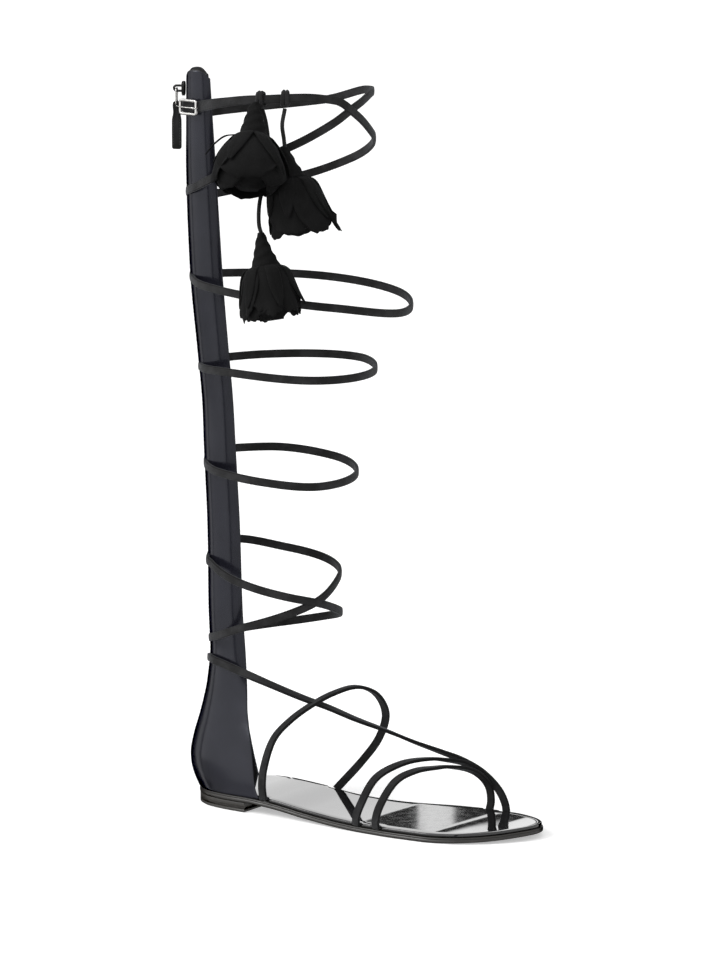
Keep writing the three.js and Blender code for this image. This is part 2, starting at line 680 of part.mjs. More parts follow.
function buildZipSlider() {
  const up = new THREE.Vector3(0, 0, 1);
  const bodyRing = (out, halfWide, halfHigh) => rectLoop(
    sliderBase.clone().addScaledVector(zipOut, out), zipSide, up, halfWide, halfHigh, 1.2, 2);
  const body = loft([bodyRing(0.75, 2.6, 4.2), bodyRing(1.2, 3.0, 4.8), bodyRing(2.5, 3.0, 4.8), bodyRing(3.0, 2.5, 4.2)]);
  const arch = [];
  for (let i = 0; i <= 12; i += 1) {
    const a = Math.PI * (i / 12);
    arch.push(pullerPivot.clone().addScaledVector(up, 1.7 * Math.cos(a)).addScaledVector(zipOut, 1.7 * Math.sin(a)));
  }
  const foot = (p) => p.clone().addScaledVector(zipOut, 2.4 - BAR_OUT);
  const path = [foot(arch[0]), ...arch, foot(arch[12])];
  return joined([body, barAlong(path, 0.6, 8)]);
}

function buildPullerRing() {
  const down = new THREE.Vector3(0, 0, -1);
  const centre = pullerPivot.clone().addScaledVector(down, 5.4);
  return barAlong(rectLoop(centre, zipSide, down, 2.6, 5.4, 1.6, 4), 0.6, 8, true);
}

// Leather tab standing square to the zip, hung on the puller's lower bar by a hole.
function buildPullTab() {
  const long = 31;
  const thick = 1.8;
  const eye = 0.95;
  const rows = [
    { below: -2.4, half: 1.9 },
    { below: -1.4, half: 2.6 },
    { below: 5, half: 2.2 },
    { below: 9, half: 3.1 },
    { below: long - 2.4, half: 3.1 },
  ];
  const leftSide = rows.map(({ below, half }) => new THREE.Vector2(-half, -below));
  const rightSide = rows.map(({ below, half }) => new THREE.Vector2(half, -below)).reverse();
  const shape = new THREE.Shape([...leftSide, ...rightSide]);
  const holePoints = Array.from({ length: 14 }, (_, k) => {
    const a = (-2 * Math.PI * k) / 14;
    return new THREE.Vector2(eye * Math.cos(a), eye * Math.sin(a));
  });
  shape.holes.push(new THREE.Path(holePoints));
  const plate = new THREE.ExtrudeGeometry(shape, { depth: thick, bevelEnabled: false });
  plate.deleteAttribute('normal');
  plate.deleteAttribute('uv');
  const geometry = mergeVertices(plate, 1e-4);
  geometry.translate(0, 0, -thick / 2);
  const place = new THREE.Matrix4().makeBasis(zipOut, new THREE.Vector3(0, 0, 1), zipSide.clone().negate());
  place.setPosition(pullerPivot.clone().add(new THREE.Vector3(0, 0, -10.8)));
  geometry.applyMatrix4(place);
  return outward(geometry);
}

// ---------- straps round the leg ----------

// How closely the buckled strand lies on the back panel at a bearing about the panel's
// centre: 1 on its outer side as far as the buckle, easing to 0 past the front edge.
function panelHug(deg) {
  const { smoothstep } = THREE.MathUtils;
  return smoothstep(deg, 190, 208) * (1 - smoothstep(deg, 282, 334));
}

// Plan position on a leg loop, with its outward direction.
function loopPoint(loop, turnDeg, z) {
  const long = bearing(LOOP_BEARING);
  const side = bearing(LOOP_BEARING + 90);
  const centre = new THREE.Vector3(tableValue(PANEL, 'z', 'cx', z), 0, 0);
  const onPanel = tableValue(PANEL, 'z', 'radius', z) + GAP + STRAP_THICK / 2;
  const place = (deg) => {
    const a = rad(deg);
    const half = loop.length / 2;
    const arm = new THREE.Vector3()
      .addScaledVector(long, half + half * Math.cos(a) - onPanel)
      .addScaledVector(side, loop.half * Math.sin(a) * (1 + LOOP_EGG * Math.cos(a)));
    const bearingOfArm = (THREE.MathUtils.radToDeg(Math.atan2(arm.y, arm.x)) + 360) % 360;
    const hug = loop.hugs ? panelHug(bearingOfArm) : 0;
    return centre.clone().add(arm.setLength(arm.length() + (onPanel - arm.length()) * hug));
  };
  const forward = place(turnDeg + 0.5).sub(place(turnDeg - 0.5)).normalize();
  const normal = new THREE.Vector3(forward.y, -forward.x, 0);
  const point = place(turnDeg).addScaledVector(normal, loop.outward);
  point.z = z;
  return { point, normal };
}

function legStrand(loop) {
  const steps = 36;
  const from = -180 + 8.5;
  const to = 180 - 3.5;
  const stations = [];
  for (let i = 0; i <= steps; i += 1) {
    const t = i / steps;
    const eased = 0.5 - 0.5 * Math.cos(Math.PI * t);
    const turn = from + (to - from) * (0.35 * t + 0.65 * eased);
    const z = tableValue(loop.rows, 'turn', 'z', turn);
    const width = tableValue(loop.rows, 'turn', 'width', turn);
    stations.push({ ...loopPoint(loop, turn, z), width });
  }
  return strapAlong(stations);
}

// ---------- straps over the foot ----------

function footStrand(rows, steps) {
  const curve = new THREE.CatmullRomCurve3(rows.map(vec), false, 'centripetal');
  const stations = curve.getSpacedPoints(steps).map((point) => {
    const onLeg = 1 - THREE.MathUtils.smoothstep(point.x, 30, 75);
    const legOut = new THREE.Vector3(point.x - 26, point.y, 0).normalize();
    const footOut = new THREE.Vector3(0, point.y, Math.max(0, point.z - 16)).normalize();
    const normal = footOut.lerp(legOut, onLeg).normalize();
    return { point, normal, width: STRAP_WIDTH };
  });
  return strapAlong(stations);
}

function buildVampStraps() {
  return joined([
    footStrand(INSTEP_STRAP, 28),
    footStrand(ARCH_STRAP, 26),
    footStrand(TOE_STRAP_REAR, 18),
    footStrand(TOE_STRAP_FRONT, 23),
  ]);
}

// ---------- buckle ----------

const BUCKLE_TURN = -154;
const TOP = LOOPS.top_wrap_strap[0];
const buckleSpot = loopPoint(TOP, BUCKLE_TURN, tableValue(TOP.rows, 'turn', 'z', BUCKLE_TURN));
const buckleAlong = new THREE.Vector3(-buckleSpot.normal.y, buckleSpot.normal.x, 0);

function buildBuckleFrame() {
  const centre = buckleSpot.point.clone().addScaledVector(buckleSpot.normal, STRAP_THICK / 2 + GAP + 1.1);
  return barAlong(rectLoop(centre, buckleAlong, new THREE.Vector3(0, 0, 1), 6.6, 4.3, 1.2, 3), 0.85, 8, true);
}

function buildBucklePin() {
  const lift = STRAP_THICK / 2 + GAP + 1.1 + 0.85 + GAP + 0.6;
  const start = buckleSpot.point.clone().addScaledVector(buckleSpot.normal, lift);
  const points = [-7.4, -2, 3, 7.4].map((s) => start.clone().addScaledVector(buckleAlong, s));
  return barAlong(points, 0.6, 8);
}

// ---------- roses ----------

function roseSpot(rose, drop) {
  return new THREE.Vector3(rose.x + rose.leanX * drop, rose.y + rose.leanY * drop, rose.z - drop);
}

function buildRose(rose) {
  const sides = 14;
  const rings = ROSE_ROWS.map(({ drop, radius, lobe }) => {
    const centre = roseSpot(rose, drop * rose.size);
    return Array.from({ length: sides }, (_, k) => {
      const a = (2 * Math.PI * k) / sides;
      const r = rose.size * radius * (1 + lobe * Math.cos(5 * a + rose.x));
      return centre.clone().add(new THREE.Vector3(r * Math.cos(a), r * Math.sin(a), 0));
    });
  });
  const bud = loft(rings);
  return rose.name === 'rose_middle' ? joined([bud, buildThong(SHORT_STEM)]) : bud;
}

function buildThong(rows) {
  const curve = new THREE.CatmullRomCurve3(rows.map(vec), false, 'centripetal');
  return barAlong(curve.getSpacedPoints(rows.length * 2), THONG_DIAMETER / 2, 8);
}

// A leather loop round the top strap that a thong hangs from.
function buildThongLoop(turn) {
  const z = tableValue(TOP.rows, 'turn', 'z', turn);
  const spot = loopPoint(TOP, turn, z);
  const up = new THREE.Vector3(0, 0, 1);
  const radius = 1.0;
  const halfOut = STRAP_THICK / 2 + GAP + radius;
  const halfHigh = tableValue(TOP.rows, 'turn', 'width', turn) / 2 + GAP + radius + 0.5;
  return barAlong(rectLoop(spot.point, spot.normal, up, halfOut, halfHigh, 1.0, 3), radius, 8, true);
}

// ---------- assembly ----------
addPart('heel_block', buildHeelBlock(), 'heel');
addPart('outsole', buildOutsole(), 'soleLeather');
addPart('insole', buildInsole(), 'patent');
addPart('back_panel_lateral', buildPanelHalf('outer'), 'panelLeather');
addPart('back_panel_medial', buildPanelHalf('inner'), 'panelLeather');
addPart('zip_chain', buildZipChain(), 'zipTape');
addPart('zip_slider', buildZipSlider(), 'nickel');
addPart('zip_puller_ring', buildPullerRing(), 'nickel');
addPart('zip_pull_tab', buildPullTab(), 'panelLeather');
Object.entries(LOOPS).forEach(([name, loops]) => addPart(name, joined(loops.map(legStrand)), 'suede'));
addPart('vamp_straps', buildVampStraps(), 'suede');
addPart('buckle_frame', buildBuckleFrame(), 'nickel');
addPart('buckle_pin', buildBucklePin(), 'nickel');
ROSES.forEach((rose) => addPart(rose.name, buildRose(rose), 'suede'));
addPart('thong_loop_rear', buildThongLoop(LOOP_TURNS.rear), 'suede');
addPart('thong_loop_front', buildThongLoop(LOOP_TURNS.front), 'suede');
addPart('rose_thong', buildThong(THONG_LONG), 'suede');

export default group;
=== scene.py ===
import math

import bmesh
import bpy
import numpy as np
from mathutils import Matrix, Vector


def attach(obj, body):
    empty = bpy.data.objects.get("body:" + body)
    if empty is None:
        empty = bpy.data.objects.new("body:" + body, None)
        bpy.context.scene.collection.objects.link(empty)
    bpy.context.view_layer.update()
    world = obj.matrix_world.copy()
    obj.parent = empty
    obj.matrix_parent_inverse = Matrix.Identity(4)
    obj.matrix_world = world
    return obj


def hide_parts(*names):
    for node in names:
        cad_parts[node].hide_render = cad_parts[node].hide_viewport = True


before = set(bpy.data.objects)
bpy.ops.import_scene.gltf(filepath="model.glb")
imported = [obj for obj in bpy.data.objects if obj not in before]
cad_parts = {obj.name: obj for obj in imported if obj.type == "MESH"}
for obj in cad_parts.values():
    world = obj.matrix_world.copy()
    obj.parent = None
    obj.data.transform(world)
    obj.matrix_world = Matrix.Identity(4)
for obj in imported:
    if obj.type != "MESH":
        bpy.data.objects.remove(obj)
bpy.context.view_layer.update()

# ---------------------------------------------------------------- sizes, in millimetres
# Stations along the sole are measured from the back of the heel; HEEL_ORIGIN_X moves
# them to the frame's origin, and MM turns them into metres, when a mesh is made.
MM = 0.001
HEEL_ORIGIN_X = 27.0
GAP = 0.3
SOLE_LENGTH = 250.0
HEEL_HEIGHT = 6.2
HEEL_FRONT = 50.0
OUTSOLE_THICK = 3.5
INSOLE_THICK = 2.2
WALL = 1.8
PANEL_TOP = 476.0
PANEL_BOTTOM = 10.3
ZIP_BEARING = 203.0
ZIP_HALF_GAP = 2.7
ZIP_BOTTOM = 66.0
STRAP_WIDTH = 5.2
STRAP_THICK = 2.2
LOOP_BEARING = 18.0
LOOP_EGG = 0.25
THONG_DIAMETER = 2.6
SLIDER_Z = 463.0
BAR_OUT = 6.4
BUCKLE_TURN = -154.0
BUCKLE_HALF = (6.6, 4.3)
BUCKLE_BAR = 1.1
SEWN_DEPTH = 2.0
UP = np.array([0.0, 0.0, 1.0])

# Sole outline: station, reach to the medial side, reach to the lateral side.
OUTLINE = np.array([
    (0.0, 1.5, -1.5), (1.2, 7.6, -8.0), (4.0, 13.4, -14.2), (9.0, 18.8, -20.0),
    (20.0, 25.2, -26.8), (40.0, 28.4, -31.2), (70.0, 27.0, -33.4), (100.0, 25.0, -37.0),
    (125.0, 27.2, -40.8), (150.0, 33.0, -43.8), (170.0, 38.0, -45.6), (190.0, 40.2, -45.6),
    (210.0, 38.0, -41.4), (225.0, 32.2, -33.2), (236.0, 25.0, -23.6), (244.0, 17.0, -12.8),
    (248.6, 10.0, -4.0), (250.0, 4.6, 1.4),
])
UNDERSIDE = np.array([
    (0, 6.5), (46, 6.5), (70, 5.2), (100, 2.2), (130, 0.4), (146, 0.0), (196, 0.0),
    (225, 1.1), (250, 3.4),
])
# Back panel: height, centre, radius, share that has left the sole outline, bulge of the
# heel to the rear, bearings of the outer and inner front edges.
PANEL = np.array([
    (10.3, 31.0, 19.0, 0.0, 0.3, 312.0, 106.0), (18.0, 31.0, 19.0, 0.0, 3.6, 309.0, 110.0),
    (26.0, 31.0, 19.0, 0.02, 5.8, 308.0, 114.0), (34.0, 30.8, 19.0, 0.07, 6.6, 307.5, 117.0),
    (44.0, 30.0, 19.0, 0.2, 6.0, 307.4, 119.0), (60.0, 28.5, 18.6, 0.5, 4.2, 307.4, 119.0),
    (82.0, 26.5, 18.5, 0.85, 1.6, 312.0, 118.0), (104.0, 25.0, 18.3, 1.0, 0.0, 315.0, 117.0),
    (128.0, 23.2, 17.8, 1.0, 0.0, 315.0, 117.0), (180.0, 21.6, 17.0, 1.0, 0.0, 315.0, 117.0),
    (232.0, 18.6, 16.6, 1.0, 0.0, 315.0, 117.0), (262.0, 16.9, 16.2, 1.0, 0.0, 315.0, 117.0),
    (297.0, 13.4, 16.4, 1.0, 0.0, 315.0, 117.0), (339.0, 9.3, 16.9, 1.0, 0.0, 315.0, 117.0),
    (370.0, 7.1, 16.6, 1.0, 0.0, 315.0, 117.0), (411.0, 4.5, 15.6, 1.0, 0.0, 315.0, 117.0),
    (440.0, 2.7, 14.0, 1.0, 0.0, 315.0, 117.0), (476.0, 0.6, 12.0, 1.0, 0.0, 315.0, 117.0),
])
CENTRE, RADIUS, LEAVE, BULGE, OUTER_EDGE, INNER_EDGE = range(1, 7)

# Strap loops round the leg: plan length, half width, how far outside the loop the
# strand lies, rows of turn, height and strap width, and True where the strand's outer
# end lies on the panel.
LEG_STRANDS = {
    "calf_strap_upper": [(144, 56, 0, [
        (-180, 343, 5.2), (-110, 338, 5.2), (-60, 333, 5.2), (-5, 325, 5.2),
        (40, 330, 5.2), (105, 338, 5.2), (180, 342, 5.2)])],
    "calf_strap_middle": [(116, 52, 0, [
        (-180, 284, 5.2), (-110, 287, 5.2), (-50, 285, 5.2), (5, 284, 5.2),
        (50, 286, 5.2), (110, 286, 5.2), (180, 285, 5.2)])],
    "calf_strap_lower": [(100, 46, 0, [
        (-180, 223, 5.2), (-90, 218, 5.2), (-40, 215, 5.2), (5, 216, 5.2),
        (60, 221, 5.2), (110, 226, 5.2), (180, 227, 5.2)])],
    "top_wrap_strap": [
        (122, 53, 1.2, [
            (-180, 452.4, 7.4), (-142, 453.2, 7.4), (-126, 455.4, 7.0), (-110, 459.4, 6.2),
            (-90, 463.8, 5.6), (-60, 466, 5.2), (-38, 463, 5.2), (-20, 452, 5.2),
            (0, 439, 5.2), (20, 430, 5.2), (55, 414, 5.2), (90, 401, 5.2),
            (130, 393, 5.2), (180, 388, 5.2)], True),
        (122, 53, 0, [
            (-180, 396, 5.2), (-145, 402, 5.2), (-115, 414, 5.2), (-67, 435, 5.2),
            (-40, 448, 5.2), (-18, 458, 5.2), (6, 463, 5.2), (35, 461, 5.2),
            (75, 451, 5.2), (110, 447, 5.2), (180, 443, 5.2)])],
    "ankle_cross_strap": [
        (87, 41, 0, [
            (-180, 106, 5.2), (-143, 111, 5.2), (-100, 122, 5.2), (-60, 132, 5.2),
            (-30, 139, 5.2), (5, 149, 5.2), (40, 153, 5.2), (90, 160, 5.2),
            (130, 167, 5.2), (180, 170, 5.2)]),
        (86, 41, 1.2, [
            (-180, 161, 5.2), (-146, 159, 5.2), (-112, 152, 5.2), (-60, 143, 5.2),
            (-34, 138, 5.2), (6, 127, 5.2), (45, 118, 5.2), (90, 111, 5.2),
            (130, 108, 5.2), (180, 106, 5.2)])],
}
FOOT_STRANDS = {
    "instep_strap": [
        (7.4, -11.6, 94.5), (15.9, -19.4, 95.5), (27.0, -22.6, 94.0), (38.0, -25.0, 92.0),
        (52.0, -28.0, 89.5), (72.0, -28.6, 84.5), (90.0, -24.0, 78.2), (105.0, -17.0, 72.4),
        (120.0, -9.0, 65.2), (136.0, 1.0, 58.0), (151.0, 12.0, 50.0), (165.0, 22.5, 43.2),
        (176.0, 31.0, 37.4), (187.0, 38.6, 28.8), (197.0, 41.6, 18.0), (202.0, 40.9, 10.0),
        (203.5, 40.2, 4.6)],
    "arch_strap": [
        (64.6, -32.4, 10.6), (64.8, -34.2, 20.0), (67.0, -35.4, 32.0), (74.0, -34.2, 52.0),
        (85.0, -30.4, 65.0), (97.5, -22.6, 75.6), (107.0, -14.0, 81.8), (115.6, -2.0, 84.6),
        (121.0, 13.0, 78.5), (121.0, 26.0, 63.0), (112.5, 31.6, 45.0), (100.0, 31.4, 28.6),
        (88.0, 28.4, 14.6), (83.0, 26.4, 8.6)],
    "toe_strap_rear": [
        (141.0, -41.9, 4.6), (142.0, -43.4, 10.0), (144.4, -41.6, 18.6), (149.4, -32.0, 34.0),
        (158.0, -15.0, 41.4), (166.0, 6.0, 41.6), (172.0, 19.6, 39.0), (178.6, 31.4, 35.2),
        (187.0, 38.4, 28.4)],
    "toe_strap_front": [
        (157.0, -43.8, 4.6), (157.6, -45.2, 10.0), (159.4, -43.2, 19.0), (163.4, -30.4, 33.4),
        (168.4, -15.0, 37.8), (173.8, 1.4, 37.6), (177.0, 11.0, 36.8), (184.0, 27.0, 32.6),
        (188.0, 35.0, 27.0), (190.6, 39.8, 19.6), (191.4, 41.0, 11.0), (190.8, 40.0, 4.6)],
}
# Where the insole is notched for strap ends: station, side (+1 medial), width.
NOTCH_DEPTH = 1.7
NOTCHES = [(203.5, 1, 6.4), (190.8, 1, 6.4), (83.0, 1, 7.6), (64.6, -1, 6.4),
           (141.2, -1, 6.4), (157.0, -1, 6.4)]
THONG_LONG = [
    (66.6, -35.0, 458.2), (67.0, -31.6, 450.0), (68.0, -30.0, 436.0), (67.6, -30.4, 424.0),
    (67.6, -34.0, 412.0), (69.6, -43.0, 399.0), (75.6, -53.0, 387.0), (79.6, -56.6, 382.2)]
SHORT_STEM = [(81.6, -31.8, 458.8), (82.4, -36.2, 449.0), (84.2, -37.0, 440.0),
              (85.2, -37.0, 432.0)]
THONG_LOOP_TURNS = {"thong_loop_rear": -86.0, "thong_loop_front": -71.0}


# ---------------------------------------------------------------- the camera
def make_camera(azimuth=32.0, elevation=10.0, distance=5.0, lens=292.5):
    """Long lens at the given azimuth and elevation, aimed a little to the side of the
    leg's middle so that the whole sandal stands in the frame."""
    a, e = math.radians(azimuth), math.radians(elevation)
    back = Vector((math.sin(a) * math.cos(e), -math.cos(a) * math.cos(e), math.sin(e)))
    right = Vector((math.cos(a), math.sin(a), 0))
    up = back.cross(right)
    aim = Vector((0.053, 0, 0.215)) + right * 0.032 + up * 0.0007
    data = bpy.data.cameras.new("camera")
    data.lens, data.sensor_width = lens, 36.0
    data.clip_start, data.clip_end = 0.1, 60.0
    camera = bpy.data.objects.new("camera", data)
    bpy.context.scene.collection.objects.link(camera)
    camera.location = aim + back * distance
    camera.rotation_mode = "QUATERNION"
    camera.rotation_quaternion = (-back).to_track_quat("-Z", "Y")
    bpy.context.scene.camera = camera


# ---------------------------------------------------------------- curves and vectors
def table_value(table, column, at):
    """Smooth value of one column at a key (column 0): cubic Hermite pieces whose inner
    slopes are the harmonic mean of the two chords, or level where those change sign."""
    keys, values = table[:, 0].astype(float), table[:, column].astype(float)
    chord = np.diff(values) / np.diff(keys)
    product, total = chord[:-1] * chord[1:], chord[:-1] + chord[1:]
    inner = np.where(product > 0, 2 * product / np.where(total == 0, 1, total), 0)
    slope = np.concatenate([chord[:1], inner, chord[-1:]])
    at = np.clip(np.asarray(at, float), keys[0], keys[-1])
    i = np.clip(np.searchsorted(keys, at, side="right") - 1, 0, len(keys) - 2)
    span = keys[i + 1] - keys[i]
    t = (at - keys[i]) / span
    t2, t3 = t * t, t * t * t
    start = (2 * t3 - 3 * t2 + 1) * values[i] + (t3 - 2 * t2 + t) * span * slope[i]
    return start + (3 * t2 - 2 * t3) * values[i + 1] + (t3 - t2) * span * slope[i + 1]


def smoothstep(x, low, high):
    """0 below low, 1 above high, and t*t*(3 - 2t) between."""
    t = np.clip((np.asarray(x, float) - low) / (high - low), 0, 1)
    return t * t * (3 - 2 * t)


def bearing(deg):
    """Unit direction in plan at that bearing from +X."""
    a = np.radians(np.asarray(deg, float))
    return np.stack([np.cos(a), np.sin(a), np.zeros_like(a)], -1)


def unit(v):
    """Vectors divided by their lengths."""
    return v / np.linalg.norm(v, axis=-1, keepdims=True)


def evenly(points, count, closed=False):
    """Points resampled at equal distances along the line that joins them."""
    line = np.vstack([points, points[:1]]) if closed else np.asarray(points, float)
    s = np.concatenate([[0], np.cumsum(np.linalg.norm(np.diff(line, axis=0), axis=1))])
    at = np.linspace(0, s[-1], count, endpoint=not closed)
    return np.stack([np.interp(at, s, line[:, k]) for k in range(line.shape[1])], -1)


def through(rows, count):
    """Smooth curve through the rows: each span is a cubic whose end slopes come from the
    neighbouring points, weighted by the square roots of their distances apart."""
    p = np.asarray(rows, float)
    p = np.vstack([2 * p[0] - p[1], p, 2 * p[-1] - p[-2]])
    gap = np.sqrt(np.linalg.norm(np.diff(p, axis=0), axis=1))[:, None]
    a, b, c, d = p[:-3], p[1:-2], p[2:-1], p[3:]
    g0, g1, g2 = gap[:-2], gap[1:-1], gap[2:]
    m1 = ((b - a) / g0 - (c - a) / (g0 + g1) + (c - b) / g1) * g1
    m2 = ((c - b) / g1 - (d - b) / (g1 + g2) + (d - c) / g2) * g1
    t = np.linspace(0, 1, 40, endpoint=False)[None, :, None]
    b, c, m1, m2 = b[:, None], c[:, None], m1[:, None], m2[:, None]
    curve = ((2 * t**3 - 3 * t**2 + 1) * b + (t**3 - 2 * t**2 + t) * m1
             + (3 * t**2 - 2 * t**3) * c + (t**3 - t**2) * m2)
    return evenly(np.vstack([curve.reshape(-1, 3), p[-2]]), count)


def grid_faces(rows, columns, close_rows=False, close_columns=False):
    """Quads between neighbouring points of a rows x columns grid."""
    r, c = np.meshgrid(np.arange(rows if close_rows else rows - 1),
                       np.arange(columns if close_columns else columns - 1), indexing="ij")
    r2, c2 = (r + 1) % rows, (c + 1) % columns
    quads = [r * columns + c, r * columns + c2, r2 * columns + c2, r2 * columns + c]
    return np.stack(quads, -1).reshape(-1, 4)


# ---------------------------------------------------------------- meshes
# A shape is (points in station millimetres, list of faces, UV pairs per point).
def shape(points, faces, uv=None):
    """Points, faces and UVs as one shape, turned outwards: the faces are flipped when the
    volume summed over their fans comes out negative."""
    points = np.asarray(points, float).reshape(-1, 3)
    faces = [list(map(int, f)) for f in faces]
    quads = np.array([f for f in faces if len(f) == 4] or [[0, 0, 0, 0]])
    a, b, c, d = (points[quads[:, k]] - points.mean(0) for k in range(4))
    volume = np.einsum("ij,ij->", a, np.cross(b, c)) + np.einsum("ij,ij->", a, np.cross(c, d))
    if volume < 0:
        faces = [f[::-1] for f in faces]
    if uv is None:
        uv = np.zeros((len(points), 2))
    return points, faces, np.asarray(uv, float).reshape(-1, 2)


def together(shapes):
    """Several shapes as one: points stacked, face numbers moved on by the points before."""
    points, faces, uvs, start = [], [], [], 0
    for p, f, uv in shapes:
        points.append(p)
        uvs.append(uv)
        faces += [[i + start for i in face] for face in f]
        start += len(p)
    return np.vstack(points), faces, np.vstack(uvs)


def sweep(path, section, reference, closed=False, uv_across=None):
    """A section carried along a path. section is (k, 2) or (n, k, 2): its first number
    runs across, along tangent x reference, its second along the reference made square to
    the tangent. UVs are (length in metres, place across from 0 to 1)."""
    n = len(path)
    if closed:
        tangent = unit(np.roll(path, -1, 0) - np.roll(path, 1, 0))
    else:
        tangent = unit(np.gradient(path, axis=0))
    reference = np.broadcast_to(reference, path.shape)
    lift = unit(reference - np.sum(reference * tangent, 1, keepdims=True) * tangent)
    across = np.cross(tangent, lift)
    section = np.broadcast_to(section, (n,) + np.shape(section)[-2:])
    k = section.shape[1]
    points = (path[:, None] + section[..., :1] * across[:, None] + section[..., 1:] * lift[:, None])
    faces = grid_faces(n, k, close_rows=closed, close_columns=True).tolist()
    if not closed:
        faces += [list(range(k))[::-1], list(range((n - 1) * k, n * k))]
    steps = np.linalg.norm(np.diff(path, axis=0), axis=1)
    along = np.concatenate([[0], np.cumsum(steps)]) * MM
    if uv_across is None:
        uv_across = np.linspace(0, 1, k)
    uv = np.stack(np.broadcast_arrays(along[:, None], np.broadcast_to(uv_across, (n, k))), -1)
    return shape(points, faces, uv)


def circle(radius, sides=14, squash=1.0):
    """Round section, or an ellipse when squash isn't 1."""
    a = 2 * np.pi * np.arange(sides) / sides
    return np.stack([radius * np.cos(a), radius * squash * np.sin(a)], -1)


def rect_loop(centre, along, up, half_long, half_high, corner, per_corner=7):
    """Rounded rectangle in the plane of two directions: four quarter turns of radius
    corner about the points half - corner, joined by straight runs."""
    quarter = np.arange(4)[:, None]
    a = (np.pi / 2) * (quarter + np.linspace(0, 1, per_corner)[None])
    sx = np.array([1, -1, -1, 1])[:, None]
    sy = np.array([1, 1, -1, -1])[:, None]
    u = (sx * (half_long - corner) + corner * np.cos(a)).ravel()
    v = (sy * (half_high - corner) + corner * np.sin(a)).ravel()
    return centre + u[:, None] * along + v[:, None] * up


def make_piece(name, shapes, materials, body="sandal", stands_for=(), pick=None,
               merge=False):
    """Puts shapes into one mesh, in metres, at its place in the frame, gives it its
    body and hides the CAD nodes that it stands for. pick gives each face's
    material number."""
    points, faces, uv = together(shapes)
    mesh = bpy.data.meshes.new(name)
    mesh.from_pydata(((points - (HEEL_ORIGIN_X, 0, 0)) * MM).tolist(), [], faces)
    loops = np.empty(len(mesh.loops), np.int32)
    mesh.loops.foreach_get("vertex_index", loops)
    layer = mesh.uv_layers.new(name="route")
    layer.data.foreach_set("uv", uv[loops].astype(np.float32).ravel())
    for material in materials if isinstance(materials, list) else [materials]:
        mesh.materials.append(material)
    if pick is not None:
        mesh.polygons.foreach_set("material_index", np.asarray(pick, np.int32))
    mesh.polygons.foreach_set("use_smooth", np.ones(len(mesh.polygons), bool))
    mesh.validate()
    mesh.update()
    piece = bpy.data.objects.new(name, mesh)
    bpy.context.scene.collection.objects.link(piece)
    if merge:
        bm = bmesh.new()
        bm.from_mesh(mesh)
        bmesh.ops.remove_doubles(bm, verts=bm.verts, dist=1e-6)
        bm.to_mesh(mesh)
        bm.free()
    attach(piece, body)
    if stands_for:
        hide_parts(*stands_for)
    return piece


# ---------------------------------------------------------------- node helpers
class Graph:
    """Adds nodes to one tree in short lines and links them as they are made."""

    def __init__(self, tree):
        self.tree = tree

    def node(self, kind, links=None, **settings):
        """One node; settings are its own values, links its input sockets' values."""
        made = self.tree.nodes.new(kind)
        for key, value in settings.items():
            setattr(made, key, value)
        for key, value in (links or {}).items():
            target = made.inputs[key]
            if isinstance(value, bpy.types.NodeSocket):
                self.tree.links.new(value, target)
            else:
                target.default_value = value
        return made

    def math(self, operation, a, b=0.0):
        """Math node; returns its output."""
        return self.node("ShaderNodeMath", {0: a, 1: b}, operation=operation).outputs[0]

    def noise(self, vector, scale, detail=3.0, roughness=0.5):
        """Noise texture's value."""
        return self.node("ShaderNodeTexNoise", {"Vector": vector, "Scale": scale,
                         "Detail": detail, "Roughness": roughness}).outputs[0]

    def between(self, value, low, high, to_low=0.0, to_high=1.0):
        """Value mapped from low..high to to_low..to_high, eased and kept inside."""
        return self.node("ShaderNodeMapRange", {0: value, 1: low, 2: high, 3: to_low,
                         4: to_high}, interpolation_type="SMOOTHSTEP").outputs[0]

    def mix(self, share, a, b):
        """Two colours mixed by a share."""
        made = self.node("ShaderNodeMix", data_type="RGBA")
        for index, value in ((0, share), (6, a), (7, b)):
            if isinstance(value, bpy.types.NodeSocket):
                self.tree.links.new(value, made.inputs[index])
            else:
                made.inputs[index].default_value = value
        return made.outputs[2]


def new_group(name, inputs, outputs):
    """Node group with named sockets; returns its graph, input node and output node."""
    tree = bpy.data.node_groups.new(name, "ShaderNodeTree")
    for label, kind, value in inputs:
        made = tree.interface.new_socket(name=label, in_out="INPUT", socket_type=kind)
        if value is not None:
            made.default_value = value
    for label, kind in outputs:
        tree.interface.new_socket(name=label, in_out="OUTPUT", socket_type=kind)
    graph = Graph(tree)
    return graph, graph.node("NodeGroupInput"), graph.node("NodeGroupOutput")


FLOAT, COLOUR, VECTOR = "NodeSocketFloat", "NodeSocketColor", "NodeSocketVector"


